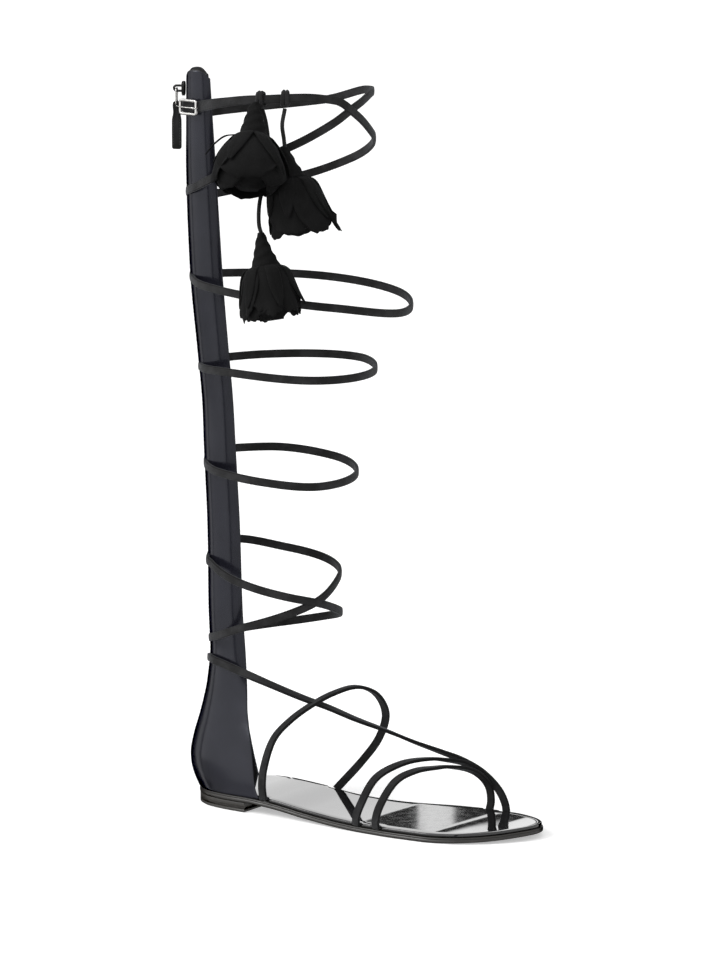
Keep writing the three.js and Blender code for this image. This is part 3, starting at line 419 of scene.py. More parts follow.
def suede_nap_group():
    """Brushed nap: short fibres in the height and in the tone, and broad patches where
    the nap was stroked the other way, which are a little lighter."""
    g, enter, leave = new_group("suede_nap", [
        ("Vector", VECTOR, None), ("Dark", COLOUR, (0, 0, 0, 1)), ("Light", COLOUR, (1, 1, 1, 1)),
        ("Fibre scale", FLOAT, 2600.0), ("Patch scale", FLOAT, 90.0)],
        [("Colour", COLOUR), ("Height", FLOAT), ("Roughness", FLOAT)])
    vector = enter.outputs["Vector"]
    fibre = g.noise(vector, enter.outputs["Fibre scale"], 4.0, 0.7)
    clump = g.noise(vector, g.math("MULTIPLY", enter.outputs["Fibre scale"], 0.28), 2.0)
    patch = g.noise(vector, enter.outputs["Patch scale"], 3.0, 0.6)
    stroke = g.between(patch, 0.36, 0.68)
    tone = g.math("ADD", g.math("MULTIPLY", stroke, 0.55), g.math("MULTIPLY", fibre, 0.7))
    colour = g.mix(g.between(tone, 0.2, 1.1), enter.outputs["Dark"], enter.outputs["Light"])
    height = g.math("ADD", fibre, g.math("MULTIPLY", clump, 0.8))
    g.tree.links.new(colour, leave.inputs["Colour"])
    g.tree.links.new(height, leave.inputs["Height"])
    g.tree.links.new(g.between(fibre, 0.2, 0.8, 0.86, 0.98), leave.inputs["Roughness"])
    return g.tree


def leather_grain_group():
    """Smooth leather: fine closed cells in the height, pores, and slow changes of gloss."""
    g, enter, leave = new_group("leather_grain", [
        ("Vector", VECTOR, None), ("Cell scale", FLOAT, 1500.0), ("Sheen low", FLOAT, 0.2),
        ("Sheen high", FLOAT, 0.34)],
        [("Height", FLOAT), ("Roughness", FLOAT), ("Mottle", FLOAT)])
    vector = enter.outputs["Vector"]
    cells = g.node("ShaderNodeTexVoronoi", {"Vector": vector, "Scale": enter.outputs["Cell scale"]},
                   feature="DISTANCE_TO_EDGE").outputs["Distance"]
    crease = g.between(cells, 0.0, 0.12)
    pores = g.noise(vector, g.math("MULTIPLY", enter.outputs["Cell scale"], 1.7), 2.0)
    slow = g.noise(vector, 34.0, 3.0, 0.55)
    height = g.math("ADD", g.math("MULTIPLY", crease, 0.6), g.math("MULTIPLY", pores, 0.4))
    worn = g.noise(vector, 210.0, 4.0, 0.65)
    gloss = g.math("ADD", g.math("MULTIPLY", slow, 0.6), g.math("MULTIPLY", worn, 0.4))
    rough = g.node("ShaderNodeMapRange", {0: gloss, 1: 0.32, 2: 0.68,
                   3: enter.outputs["Sheen low"], 4: enter.outputs["Sheen high"]})
    g.tree.links.new(height, leave.inputs["Height"])
    g.tree.links.new(rough.outputs[0], leave.inputs["Roughness"])
    g.tree.links.new(slow, leave.inputs["Mottle"])
    return g.tree


def edge_paint_group():
    """Painted, slightly rubbed edge of a strap: a mask that is 1 at both edges of the
    strap's width and uneven along it, and the low ridge that the folded edge makes."""
    g, enter, leave = new_group("edge_paint", [
        ("Across", FLOAT, 0.5), ("Vector", VECTOR, None), ("Start", FLOAT, 0.7)],
        [("Mask", FLOAT), ("Ridge", FLOAT)])
    off = g.math("ABSOLUTE", g.math("SUBTRACT", enter.outputs["Across"], 0.5))
    place = g.math("MULTIPLY", off, 2.0)
    wander = g.math("MULTIPLY", g.noise(enter.outputs["Vector"], 420.0, 3.0), 0.16)
    place = g.math("ADD", place, g.math("SUBTRACT", wander, 0.08))
    mask = g.between(place, enter.outputs["Start"], 0.97)
    ridge = g.between(place, 0.62, 0.8)
    g.tree.links.new(mask, leave.inputs["Mask"])
    g.tree.links.new(ridge, leave.inputs["Ridge"])
    return g.tree


def dust_group():
    """Sparse fine specks and faint wipe marks, as a mask from 0 to 1."""
    g, enter, leave = new_group("fine_dust", [
        ("Vector", VECTOR, None), ("Amount", FLOAT, 0.3)], [("Mask", FLOAT)])
    specks = g.between(g.noise(enter.outputs["Vector"], 1900.0, 1.0), 0.74, 0.8)
    drift = g.between(g.noise(enter.outputs["Vector"], 46.0, 4.0, 0.65), 0.45, 0.75)
    mask = g.math("MULTIPLY", g.math("MULTIPLY", specks, drift), enter.outputs["Amount"])
    g.tree.links.new(mask, leave.inputs["Mask"])
    return g.tree


SUEDE_NAP = suede_nap_group()
LEATHER_GRAIN = leather_grain_group()
EDGE_PAINT = edge_paint_group()
FINE_DUST = dust_group()


def new_material(name, colour, **sockets):
    """Material with a Principled shader; sockets are the shader's own constants. Returns
    the material, its graph, the shader and the Object coordinates."""
    material = bpy.data.materials.new(name)
    material.use_nodes = True
    g = Graph(material.node_tree)
    g.tree.nodes.clear()
    shader = g.node("ShaderNodeBsdfPrincipled", {"Base Color": colour})
    for key, value in sockets.items():
        shader.inputs[key.replace("_", " ")].default_value = value
    g.node("ShaderNodeOutputMaterial", {"Surface": shader.outputs[0]})
    return material, g, shader, g.node("ShaderNodeTexCoord").outputs["Object"]


def use_group(g, tree, links):
    """Places a node group in a material with its own values."""
    made = g.node("ShaderNodeGroup", node_tree=tree)
    for key, value in links.items():
        if isinstance(value, bpy.types.NodeSocket):
            g.tree.links.new(value, made.inputs[key])
        else:
            made.inputs[key].default_value = value
    return made.outputs


def bump(g, shader, height, strength, distance, under=None):
    """Bump from a height, on top of another bump when one is given."""
    links = {"Strength": strength, "Distance": distance, "Height": height}
    if under is not None:
        links["Normal"] = under
    made = g.node("ShaderNodeBump", links).outputs[0]
    g.tree.links.new(made, shader.inputs["Normal"])
    return made


def grey(value, blue=1.0, red=1.0):
    """A near-neutral linear colour."""
    return (value * red, value, value * blue, 1.0)


def across_of(g):
    """The strap's place across its width, from its own UV map."""
    uv = g.node("ShaderNodeUVMap", uv_map="route").outputs[0]
    return g.node("ShaderNodeSeparateXYZ", {0: uv}).outputs


def make_suede(name, dark, light, sheen, edge=True):
    """Black suede with a brushed nap; straps also get the darker painted edges."""
    material, g, shader, where = new_material(
        name, grey(dark), Sheen_Weight=sheen, Sheen_Roughness=0.42,
        Sheen_Tint=(0.78, 0.8, 0.86, 1), Specular_IOR_Level=0.25)
    nap = use_group(g, SUEDE_NAP, {"Vector": where, "Dark": grey(dark), "Light": grey(light, 1.04)})
    colour, height = nap["Colour"], nap["Height"]
    under = None
    if edge:
        rim = use_group(g, EDGE_PAINT, {"Across": across_of(g)["Y"], "Vector": where})
        colour = g.mix(rim["Mask"], colour, grey(dark * 0.45))
        under = bump(g, shader, rim["Ridge"], 0.35, 0.0004)
    g.tree.links.new(colour, shader.inputs["Base Color"])
    g.tree.links.new(nap["Roughness"], shader.inputs["Roughness"])
    bump(g, shader, height, 0.5, 0.0003, under)
    return material


def make_calf():
    """Polished black calf of the back panel: fine grain, soft handling marks, faint dust."""
    material, g, shader, where = new_material(
        "polished_calf", grey(0.012), Coat_Weight=0.2, Coat_Roughness=0.03, IOR=1.4,
        Specular_Tint=(0.84, 0.87, 1.0, 1))
    grain = use_group(g, LEATHER_GRAIN, {"Vector": where, "Cell scale": 1700.0,
                      "Sheen low": 0.16, "Sheen high": 0.26})
    dust = use_group(g, FINE_DUST, {"Vector": where, "Amount": 0.25})
    tone = g.mix(g.between(grain["Mottle"], 0.35, 0.65), grey(0.006, 1.5), grey(0.009, 1.5))
    g.tree.links.new(g.mix(dust["Mask"], tone, grey(0.09)), shader.inputs["Base Color"])
    g.tree.links.new(grain["Roughness"], shader.inputs["Roughness"])
    wave = bump(g, shader, g.noise(where, 60.0, 2.0), 0.12, 0.0006)
    bump(g, shader, grain["Height"], 0.16, 0.00005, wave)
    return material


def make_lining():
    """Inside of the panel: black kid lining, duller and with larger creases."""
    material, g, shader, where = new_material("kid_lining", grey(0.02), IOR=1.46)
    grain = use_group(g, LEATHER_GRAIN, {"Vector": where, "Cell scale": 900.0,
                      "Sheen low": 0.5, "Sheen high": 0.66})
    tone = g.mix(g.between(grain["Mottle"], 0.35, 0.65), grey(0.017, 1.05), grey(0.028, 1.08))
    g.tree.links.new(tone, shader.inputs["Base Color"])
    g.tree.links.new(grain["Roughness"], shader.inputs["Roughness"])
    bump(g, shader, grain["Height"], 0.4, 0.0001)
    return material


def make_patent():
    """Mirror-bright black insole: deep gloss, a slow orange peel and fine dust."""
    material, g, shader, where = new_material(
        "insole_patent", grey(0.008), Coat_Weight=1.0, Coat_Roughness=0.02, IOR=1.45, Coat_IOR=1.5)
    dust = use_group(g, FINE_DUST, {"Vector": where, "Amount": 0.2})
    tone = g.mix(g.between(g.noise(where, 28.0, 3.0), 0.35, 0.65), grey(0.006), grey(0.011, 1.1))
    g.tree.links.new(g.mix(dust["Mask"], tone, grey(0.12)), shader.inputs["Base Color"])
    g.tree.links.new(g.between(g.noise(where, 160.0, 4.0), 0.3, 0.7, 0.03, 0.07),
                     shader.inputs["Roughness"])
    bump(g, shader, g.noise(where, 120.0, 2.0), 0.05, 0.0003)
    return material


def make_sole_edge(name, low, high, lines, gloss):
    """Dyed and waxed sole leather: faint fibre layers along the edge and small scuffs."""
    material, g, shader, where = new_material(name, grey(low), Coat_Weight=0.25,
                                              Coat_Roughness=0.2)
    height_z = g.node("ShaderNodeSeparateXYZ", {0: where}).outputs["Z"]
    wander = g.math("MULTIPLY", g.noise(where, 60.0, 2.0), 0.0006)
    layer = g.math("SINE", g.math("MULTIPLY", g.math("ADD", height_z, wander), lines))
    fibre = g.noise(where, 900.0, 5.0, 0.7)
    scuff = g.between(g.noise(where, 150.0, 5.0, 0.7), 0.56, 0.72)
    tone = g.math("ADD", g.math("MULTIPLY", layer, 0.12), fibre)
    colour = g.mix(g.between(tone, 0.3, 0.8), grey(low, 0.88, 1.08), grey(high, 0.86, 1.12))
    colour = g.mix(g.math("MULTIPLY", scuff, 0.35), colour, grey(high * 1.8, 0.85, 1.15))
    g.tree.links.new(colour, shader.inputs["Base Color"])
    g.tree.links.new(g.between(tone, 0.2, 0.8, gloss, gloss + 0.18), shader.inputs["Roughness"])
    bump(g, shader, tone, 0.3, 0.00012)
    return material


def make_nickel():
    """Polished nickel with fine hairlines and slightly duller spots."""
    material, g, shader, where = new_material("polished_nickel", (0.72, 0.71, 0.69, 1), Metallic=1.0)
    hair = g.noise(g.node("ShaderNodeMapping", {"Vector": where, "Scale": (1, 1, 14)}).outputs[0],
                   900.0, 4.0, 0.7)
    spot = g.noise(where, 300.0, 3.0)
    g.tree.links.new(g.between(hair, 0.3, 0.75, 0.1, 0.26), shader.inputs["Roughness"])
    g.tree.links.new(g.mix(g.between(spot, 0.4, 0.7), (0.74, 0.73, 0.71, 1), (0.6, 0.59, 0.58, 1)),
                     shader.inputs["Base Color"])
    bump(g, shader, hair, 0.06, 0.00005)
    return material


def make_zip_tape():
    """Twill tape of the zip: fine slanting ribs and crossing threads."""
    material, g, shader, where = new_material("zip_tape", grey(0.012), Sheen_Weight=0.2)
    parts = g.node("ShaderNodeSeparateXYZ", {0: where}).outputs
    slant = g.math("ADD", g.math("MULTIPLY", parts["Z"], 9000.0), g.math("MULTIPLY", parts["Y"], 7000.0))
    rib = g.math("MULTIPLY", g.math("ADD", g.math("SINE", slant), 1.0), 0.5)
    weft = g.math("SINE", g.math("MULTIPLY", parts["Z"], 21000.0))
    thread = g.math("MULTIPLY", g.math("ADD", weft, 1.0), 0.5)
    height = g.math("ADD", rib, g.math("MULTIPLY", thread, 0.4))
    g.tree.links.new(g.mix(rib, grey(0.006), grey(0.019)), shader.inputs["Base Color"])
    g.tree.links.new(g.between(rib, 0.0, 1.0, 0.85, 0.7), shader.inputs["Roughness"])
    bump(g, shader, height, 0.6, 0.0002)
    return material


def make_zip_teeth():
    """Black enamelled zip teeth, rubbed to grey on the high spots."""
    material, g, shader, where = new_material("zip_teeth", grey(0.02), Metallic=0.6)
    rub = g.between(g.noise(where, 700.0, 4.0, 0.7), 0.5, 0.7)
    g.tree.links.new(g.mix(rub, grey(0.014), grey(0.06)), shader.inputs["Base Color"])
    g.tree.links.new(g.between(rub, 0.0, 1.0, 0.25, 0.42), shader.inputs["Roughness"])
    bump(g, shader, g.noise(where, 1800.0, 3.0), 0.2, 0.0001)
    return material


def make_thread():
    """Waxed black thread with its twist."""
    material, g, shader, where = new_material("waxed_thread", grey(0.014), Sheen_Weight=0.15)
    route = across_of(g)
    twist = g.math("SINE", g.math("ADD", g.math("MULTIPLY", route["X"], 9000.0),
                                  g.math("MULTIPLY", route["Y"], 12.0)))
    ply = g.math("MULTIPLY", g.math("ADD", twist, 1.0), 0.5)
    g.tree.links.new(g.mix(ply, grey(0.007), grey(0.03)), shader.inputs["Base Color"])
    g.tree.links.new(g.between(g.noise(where, 1500.0), 0.3, 0.7, 0.45, 0.65), shader.inputs["Roughness"])
    bump(g, shader, ply, 0.5, 0.0001)
    return material


STRAP_SUEDE = make_suede("strap_suede", 0.0085, 0.022, 0.16)
ROSE_SUEDE = make_suede("rose_suede", 0.0012, 0.0032, 0.02, edge=False)
TAB_SUEDE = make_suede("tab_suede", 0.0065, 0.015, 0.08, edge=False)
CALF = make_calf()
LINING = make_lining()
PATENT = make_patent()
SOLE_EDGE = make_sole_edge("sole_edge", 0.011, 0.022, 5200.0, 0.34)
HEEL_STACK = make_sole_edge("heel_stack", 0.018, 0.034, 4200.0, 0.42)
NICKEL = make_nickel()
ZIP_TAPE = make_zip_tape()
ZIP_TEETH = make_zip_teeth()
THREAD = make_thread()


# ---------------------------------------------------------------- straps
def strap(points, normals, widths, thick=STRAP_THICK, corner=0.62, crown=0.16):
    """A folded strap: rounded-rectangle section with quarter turns of radius corner, its
    outer face lifted by crown * (1 - s squared) where s runs from -1 to 1 across."""
    quarter = np.linspace(0, np.pi / 2, 4)
    flat = np.array([0.6, 0.2, -0.2, -0.6])
    angles = np.concatenate([quarter, quarter + np.pi / 2, quarter + np.pi, quarter + 1.5 * np.pi])
    side = np.repeat([1.0, -1.0, -1.0, 1.0], 4)
    face = np.repeat([1.0, 1.0, -1.0, -1.0], 4)
    reach = np.concatenate([side[:4], flat, side[4:12], -flat, side[12:]])
    add = np.concatenate([corner * np.cos(angles[:4]), 0 * flat, corner * np.cos(angles[4:12]),
                          0 * flat, corner * np.cos(angles[12:])])
    rise = np.concatenate([
        (face * (thick / 2 - corner) + corner * np.sin(angles))[:4],
        thick / 2 + crown * (1 - flat**2),
        (face * (thick / 2 - corner) + corner * np.sin(angles))[4:12],
        -thick / 2 + 0 * flat,
        (face * (thick / 2 - corner) + corner * np.sin(angles))[12:]])
    half = np.broadcast_to(np.asarray(widths, float), (len(points),))[:, None] / 2
    u = reach[None] * (half - corner) + add[None]
    section = np.stack([u, np.broadcast_to(rise, u.shape)], -1)
    return sweep(points, section, normals, uv_across=0.5 + 0.5 * u / half)


def panel_column(z, column):
    """Smooth value of one of the panel table's columns at a height."""
    return table_value(PANEL, column, z)


def panel_hug(deg, leaves, free):
    """How closely a strand lies on the panel at a bearing about the panel's centre: 1 from
    the zip to the bearing where it leaves, easing to 0 at the bearing where it is free."""
    return smoothstep(deg, 190, 208) * (1 - smoothstep(deg, leaves, free))


def loop_point(length, half_width, outward, turn, z, hugs=False):
    """Plan place on an egg-shaped leg loop: half the length times 1 + cos of the turn
    along the long axis, half width times sin of the turn, fuller in front by LOOP_EGG;
    then moved outward along the loop's own normal. Its distance from the panel's centre
    is eased to the panel's own by panel_hug, further round for the buckled strand."""
    long_way, side_way = bearing(LOOP_BEARING), bearing(LOOP_BEARING + 90)
    turn, z = np.broadcast_arrays(np.asarray(turn, float), np.asarray(z, float))
    centre = np.stack([panel_column(z, CENTRE), 0 * z, 0 * z], -1)
    on_panel = (panel_column(z, RADIUS) + GAP + STRAP_THICK / 2)[..., None]

    def place(deg):
        a = np.radians(deg)[..., None]
        arm = (long_way * (length / 2 * (1 + np.cos(a)) - on_panel)
               + side_way * half_width * np.sin(a) * (1 + LOOP_EGG * np.cos(a)))
        around = np.degrees(np.arctan2(arm[..., 1:2], arm[..., :1])) % 360
        hug = panel_hug(around, 282, 334) if hugs else panel_hug(around, 222, 285)
        return centre + arm * (1 + hug * (on_panel / np.linalg.norm(arm, axis=-1, keepdims=True) - 1))

    forward = unit(place(turn + 0.5) - place(turn - 0.5))
    normal = np.stack([forward[..., 1], -forward[..., 0], 0 * z], -1)
    point = place(turn) + outward * normal
    point[..., 2] = z
    return point, normal


def leg_strand(length, half_width, outward, rows, hugs=False, steps=230):
    """One strand round the leg. It sinks into the panel at both ends, where the strap is
    sewn down beside the zip; the buckled strand does so only past its buckle."""
    rows = np.array(rows, float)
    turn = np.linspace(-175.5, 178.5, steps)
    z = table_value(rows, 1, turn)
    point, normal = loop_point(length, half_width, outward, turn, z, hugs)
    tuck = smoothstep(-turn, 167.0 if hugs else 148.0, 172.0) + smoothstep(turn, 166.0, 178.5)
    point = point - normal * (tuck * (SEWN_DEPTH + outward))[:, None]
    return strap(point, normal, table_value(rows, 2, turn))


def foot_strand(rows, steps):
    """One strand over the foot: a smooth curve through its rows; its face looks away from
    the foot's long axis, or away from the leg where it lies on the back panel, into which
    its end sinks."""
    point = through(rows, steps)
    leg = unit(np.stack([point[:, 0] - 26, point[:, 1], 0 * point[:, 0]], -1))
    lift = np.maximum(0, point[:, 2] - 16)
    foot = unit(np.stack([0 * lift, point[:, 1], lift], -1))
    on_leg = (1 - smoothstep(point[:, 0], 30, 75))[:, None]
    sewn_down = (1 - smoothstep(point[:, 0], 9, 22))[:, None]
    point = point - SEWN_DEPTH * sewn_down * leg
    return strap(point, unit(foot * (1 - on_leg) + leg * on_leg), STRAP_WIDTH)


# ---------------------------------------------------------------- sole
def outline_side(x, column):
    """Side of the sole's outline at a station: column 1 inner, column 2 outer."""
    return table_value(OUTLINE, column, x)


def softened(loop, times=3):
    """Closed loop whose points are averaged with their two neighbours a few times."""
    for _ in range(times):
        loop = 0.25 * np.roll(loop, 1, 0) + 0.5 * loop + 0.25 * np.roll(loop, -1, 0)
    return loop


def sole_loop(count=420):
    """The sole's edge as a closed line, heel to toe on the outer side and back."""
    x = SOLE_LENGTH / 2 * (1 - np.cos(np.linspace(0, np.pi, 700)))
    outer = np.stack([x, outline_side(x, 2)], -1)
    inner = np.stack([x, outline_side(x, 1)], -1)[::-1]
    return softened(evenly(np.vstack([outer, inner]), count, closed=True))


def heel_loop(count=260):
    """The heel block's edge: the sole's edge up to its straight front."""
    x = HEEL_FRONT * (1 - np.cos(np.linspace(0, np.pi / 2, 300)))
    outer = np.stack([x, outline_side(x, 2)], -1)
    inner = np.stack([x, outline_side(x, 1)], -1)[::-1]
    return softened(evenly(np.vstack([outer, inner]), count, closed=True), 2)


def loop_outwards(loop):
    """Unit outward normals of a counter-clockwise closed line."""
    step = np.roll(loop, -1, 0) - np.roll(loop, 1, 0)
    return unit(np.stack([step[:, 1], -step[:, 0]], -1))


def plate(loop, inset, bottom, top, profile, spine):
    """A sole layer. Rings of the edge line shrink towards a spine for the bottom and the
    top; between them the profile's rows (extra inset, share of the height) round the
    edge. bottom and top give the height at a station."""
    normal = loop_outwards(loop)
    middle_x = np.clip(loop[:, 0], *spine)
    middle = np.stack([middle_x, (outline_side(middle_x, 1) + outline_side(middle_x, 2)) / 2], -1)
    inset = np.broadcast_to(inset, (len(loop),))
    rings, heights = [], []
    shares = [0.0, 0.3, 0.6, 0.85]
    rows = [(profile[0][0], profile[0][1], s) for s in shares]
    rows += [(i, h, 1.0) for i, h in profile]
    rows += [(profile[-1][0], profile[-1][1], s) for s in shares[::-1]]
    for extra, height, share in rows:
        edge = loop - normal * (inset + extra)[:, None]
        ring = middle * (1 - share) + edge * share
        low, high = bottom(ring[:, 0]), top(ring[:, 0])
        rings.append(ring)
        heights.append(low + (high - low) * height)
    points = np.concatenate([np.array(rings), np.array(heights)[..., None]], -1)
    return shape(points, grid_faces(len(rows), len(loop), close_columns=True))


def underside(x):
    """Height of the outsole's underside at a station."""
    return table_value(UNDERSIDE, 1, x)


def rounded_edge(radius, thick, steps=4):
    """Profile rows of a rounded edge: quarter turns at the bottom and the top."""
    a = np.linspace(0, np.pi / 2, steps)
    low = [(radius * (1 - math.sin(t)), radius * (1 - math.cos(t)) / thick) for t in a]
    high = [(i, 1 - h) for i, h in low[::-1]]
    return low + high


def sole_pieces():
    """Heel block, outsole with a groove round its edge, and insole with its notches."""
    heel_profile = rounded_edge(0.5, HEEL_HEIGHT)
    lift_line = [(0.0, 0.27), (0.22, 0.285), (0.22, 0.3), (0.0, 0.315)]
    heel_profile = heel_profile[:4] + lift_line + heel_profile[4:]
    heel = plate(heel_loop(), 0.4, lambda x: 0 * x, lambda x: 0 * x + HEEL_HEIGHT,
                 heel_profile, (14, 40))
    make_piece("heel_stack", [heel], HEEL_STACK, stands_for=["heel_block"], merge=True)

    edge = rounded_edge(0.7, OUTSOLE_THICK)
    groove = [(0.0, 0.56), (0.3, 0.61), (0.3, 0.65), (0.02, 0.7)]
    loop = sole_loop()
    outsole = plate(loop, 0.0, underside, lambda x: underside(x) + OUTSOLE_THICK,
                    edge[:4] + groove + edge[4:], (18, 226))
    make_piece("outsole_leather", [outsole], SOLE_EDGE,
               stands_for=["outsole"], merge=True)

    behind_counter = WALL + 0.7
    outer_side = loop[:, 1] < (outline_side(loop[:, 0], 1) + outline_side(loop[:, 0], 2)) / 2
    front = np.where(outer_side, smoothstep(loop[:, 0], 64, 70), smoothstep(loop[:, 0], 30, 36))
    inset = behind_counter + (0.8 - behind_counter) * front
    for station, side, width in NOTCHES:
        near = np.abs(loop[:, 0] - station)
        same_side = outer_side if side < 0 else ~outer_side
        notch = NOTCH_DEPTH * (1 - smoothstep(near, width / 2 - 0.3, width / 2 + 0.9))
        inset = inset + np.where(same_side, notch, 0)
    insole = plate(loop, inset, lambda x: underside(x) + OUTSOLE_THICK + GAP,
                   lambda x: underside(x) + OUTSOLE_THICK + GAP + INSOLE_THICK,
                   rounded_edge(0.75, INSOLE_THICK, 5), (20, 224))
    make_piece("insole_board", [insole], PATENT, stands_for=["insole"], merge=True)


# ---------------------------------------------------------------- back panel
def outline_reach(centre, deg):
    """Distance from a centre on the middle line to the sole's edge along a bearing, by
    halving the span between 5 and 90 mm forty times."""
    way = bearing(deg)
    low, high = np.full(np.shape(deg), 5.0), np.full(np.shape(deg), 90.0)
    for _ in range(40):
        reach = 0.5 * (low + high)
        x, y = centre + way[..., 0] * reach, way[..., 1] * reach
        inside = (x > 0.2) & (y < outline_side(x, 1)) & (y > outline_side(x, 2))
        low, high = np.where(inside, reach, low), np.where(inside, high, reach)
    return low


def panel_reach(z, deg):
    """Radius of the panel's outer face: from the sole's edge at the bottom to a circle up
    the leg, plus the heel's bulge times the squared cosine from bearing 206."""
    centre, leave = panel_column(z, CENTRE), panel_column(z, LEAVE)
    back = np.maximum(0, np.cos(np.radians(deg - 206)))
    return ((1 - leave) * outline_reach(centre, deg) + leave * panel_column(z, RADIUS)
            + panel_column(z, BULGE) * back**2)


def panel_point(z, deg, offset=0.0):
    """Point on the panel's outer face at a height and bearing, moved out by the offset."""
    z, deg = np.broadcast_arrays(np.asarray(z, float), np.asarray(deg, float))
    reach = panel_reach(z, deg) + offset
    base = np.stack([panel_column(z, CENTRE), 0 * z, z], -1)
    return base + bearing(deg) * reach[..., None]


def zip_half_gap(z):
    """Half the gap between the panel's halves: a fine seam below the zip, eased over 4 mm
    to the zip's own half gap above."""
    return GAP / 2 + (ZIP_HALF_GAP - GAP / 2) * smoothstep(z, ZIP_BOTTOM - 4, ZIP_BOTTOM)


def panel_bearing(z, t, edge):
    """Bearing at a share t of the way from the zip to a front edge at that height."""
    turn = np.degrees(zip_half_gap(z) / panel_reach(z, np.full(np.shape(z), ZIP_BEARING)))
    start = ZIP_BEARING + turn if edge == OUTER_EDGE else ZIP_BEARING - turn
    return start + (panel_column(z, edge) - start) * t


def panel_half(edge, rows=230, columns=44, rim=3):
    """One half of the back panel as a closed wall. A section runs out along the outer
    face, round a half-circle rim, back along the inner face and round the other rim; the
    top is lowered by 4.6 |2t - 1| cubed and rounded over its last 0.9 mm."""
    half_wall = WALL / 2
    t = 0.5 - 0.5 * np.cos(np.linspace(0, np.pi, columns))
    t = 0.7 * np.linspace(0, 1, columns) + 0.3 * t
    a = np.linspace(0, np.pi / 2, rim + 1)
    # Ring: middle of the zip-side rim, outer face, middle of the front rim, inner face.
    shift_out = np.concatenate([-np.cos(a[:-1]), np.zeros(columns), np.sin(a[1:])]) * half_wall
    share = np.concatenate([np.zeros(rim), t, np.ones(rim)])
    depth = np.concatenate([np.sin(a[:-1]), np.ones(columns), np.cos(a[1:])])
    share = np.concatenate([share, share[1:-1][::-1]])
    depth = np.concatenate([depth, -depth[1:-1][::-1]])
    shift_out = np.concatenate([shift_out, shift_out[1:-1][::-1]])
    crown = 4.6 * np.abs(2 * share - 1) ** 3
    levels = np.concatenate([
        PANEL_BOTTOM + np.array([0.0, 0.35, 0.9]), np.linspace(11.8, 110, 90),
        np.linspace(111.5, PANEL_TOP - 0.9, rows - 96)])
    squeeze = np.concatenate([[0.62, 0.9, 1.0], np.ones(len(levels) - 3)])
    top_a = np.linspace(0, 1.25, 5)[1:]
    levels = np.concatenate([levels, PANEL_TOP - 0.9 + 0.9 * np.sin(top_a)])
    squeeze = np.concatenate([squeeze, np.cos(top_a)])
    z = levels[:, None] - crown[None] * smoothstep(levels, PANEL_TOP - 30, PANEL_TOP - 0.9)[:, None]
    shares = np.broadcast_to(share, z.shape)
    deg = panel_bearing(z, shares, edge)
    way = 1.0 if edge == OUTER_EDGE else -1.0
    reach = panel_reach(z, deg)
    deg = deg + way * np.degrees((shift_out * squeeze[:, None]) / reach)
    offset = -half_wall + half_wall * depth * squeeze[:, None]
    points = panel_point(z, deg, offset)
    count = z.shape[1]
    faces = grid_faces(len(levels), count, close_columns=True)
    middle = count // 2
    last = (len(levels) - 1) * count
    caps = []
    for start, flip in ((0, True), (last, False)):
        j = np.arange(1, middle - 1)
        strip = np.stack([j, j + 1, count - j - 1, count - j], -1) + start
        ends = np.array([[0, 1, count - 1], [middle - 1, middle, middle + 1]]) + start
        for group in (strip, ends):
            caps += [f[::-1] if flip else f for f in group.tolist()]
    uv = np.stack([z * MM, shares], -1)
    sign = 1 if edge == OUTER_EDGE else -1
    made = shape(points, faces.tolist() + [f[::sign] for f in caps], uv)
    inner_side = np.zeros(len(made[1]), int)
    column = np.arange(len(faces)) % count
    inner_side[:len(faces)] = (column > middle + rim - 1) & (column < count - rim)
    return made, inner_side


# ---------------------------------------------------------------- zip
ZIP_OUT = bearing(ZIP_BEARING)
ZIP_SIDE = bearing(ZIP_BEARING + 90)
SLIDER_BASE = panel_point(SLIDER_Z, ZIP_BEARING)
PULLER_PIVOT = SLIDER_BASE + ZIP_OUT * BAR_OUT


def repeated(points, faces, places):
    """One small closed form repeated: its points in local axes are carried to every
    place, given as (origins, three axes each), in one product."""
    origins, axes = places
    moved = origins[:, None] + np.einsum("pk,nkd->npd", points, axes)
    numbers = faces[None] + np.arange(len(origins))[:, None, None] * len(points)
    return moved.reshape(-1, 3), numbers.reshape(-1, faces.shape[1])


def pebble(half_x, half_y, half_z, rows=5, sides=8, power=0.7):
    """Small closed rounded block: a sphere's grid with its sines and cosines raised to a
    power below 1, and short rings instead of poles."""
    a = np.linspace(0.18, np.pi - 0.18, rows)[:, None]
    b = (2 * np.pi * np.arange(sides) / sides)[None]
    soft = lambda v: np.sign(v) * np.abs(v) ** power
    x = half_x * soft(np.sin(a)) * soft(np.cos(b))
    y = half_y * soft(np.sin(a)) * soft(np.sin(b))
    z = half_z * soft(np.cos(a)) * np.ones_like(b)
    points = np.stack(np.broadcast_arrays(x, y, z), -1).reshape(-1, 3)
    quads = grid_faces(rows, sides, close_columns=True)
    half = sides // 2
    caps = []
    for start in (0, (rows - 1) * sides):
        j = np.arange(half - 1)
        caps.append(start + np.stack([j, j + 1, sides - 2 - j, sides - 1 - j], -1))
    caps[1] = caps[1][:, ::-1]
    return points, np.vstack([quads, caps[0][:, ::-1], caps[1][:, ::-1]])


def axes_at(across, out, along):
    """Stack of three axes per place."""
    return np.stack(np.broadcast_arrays(across, out, along), 1)


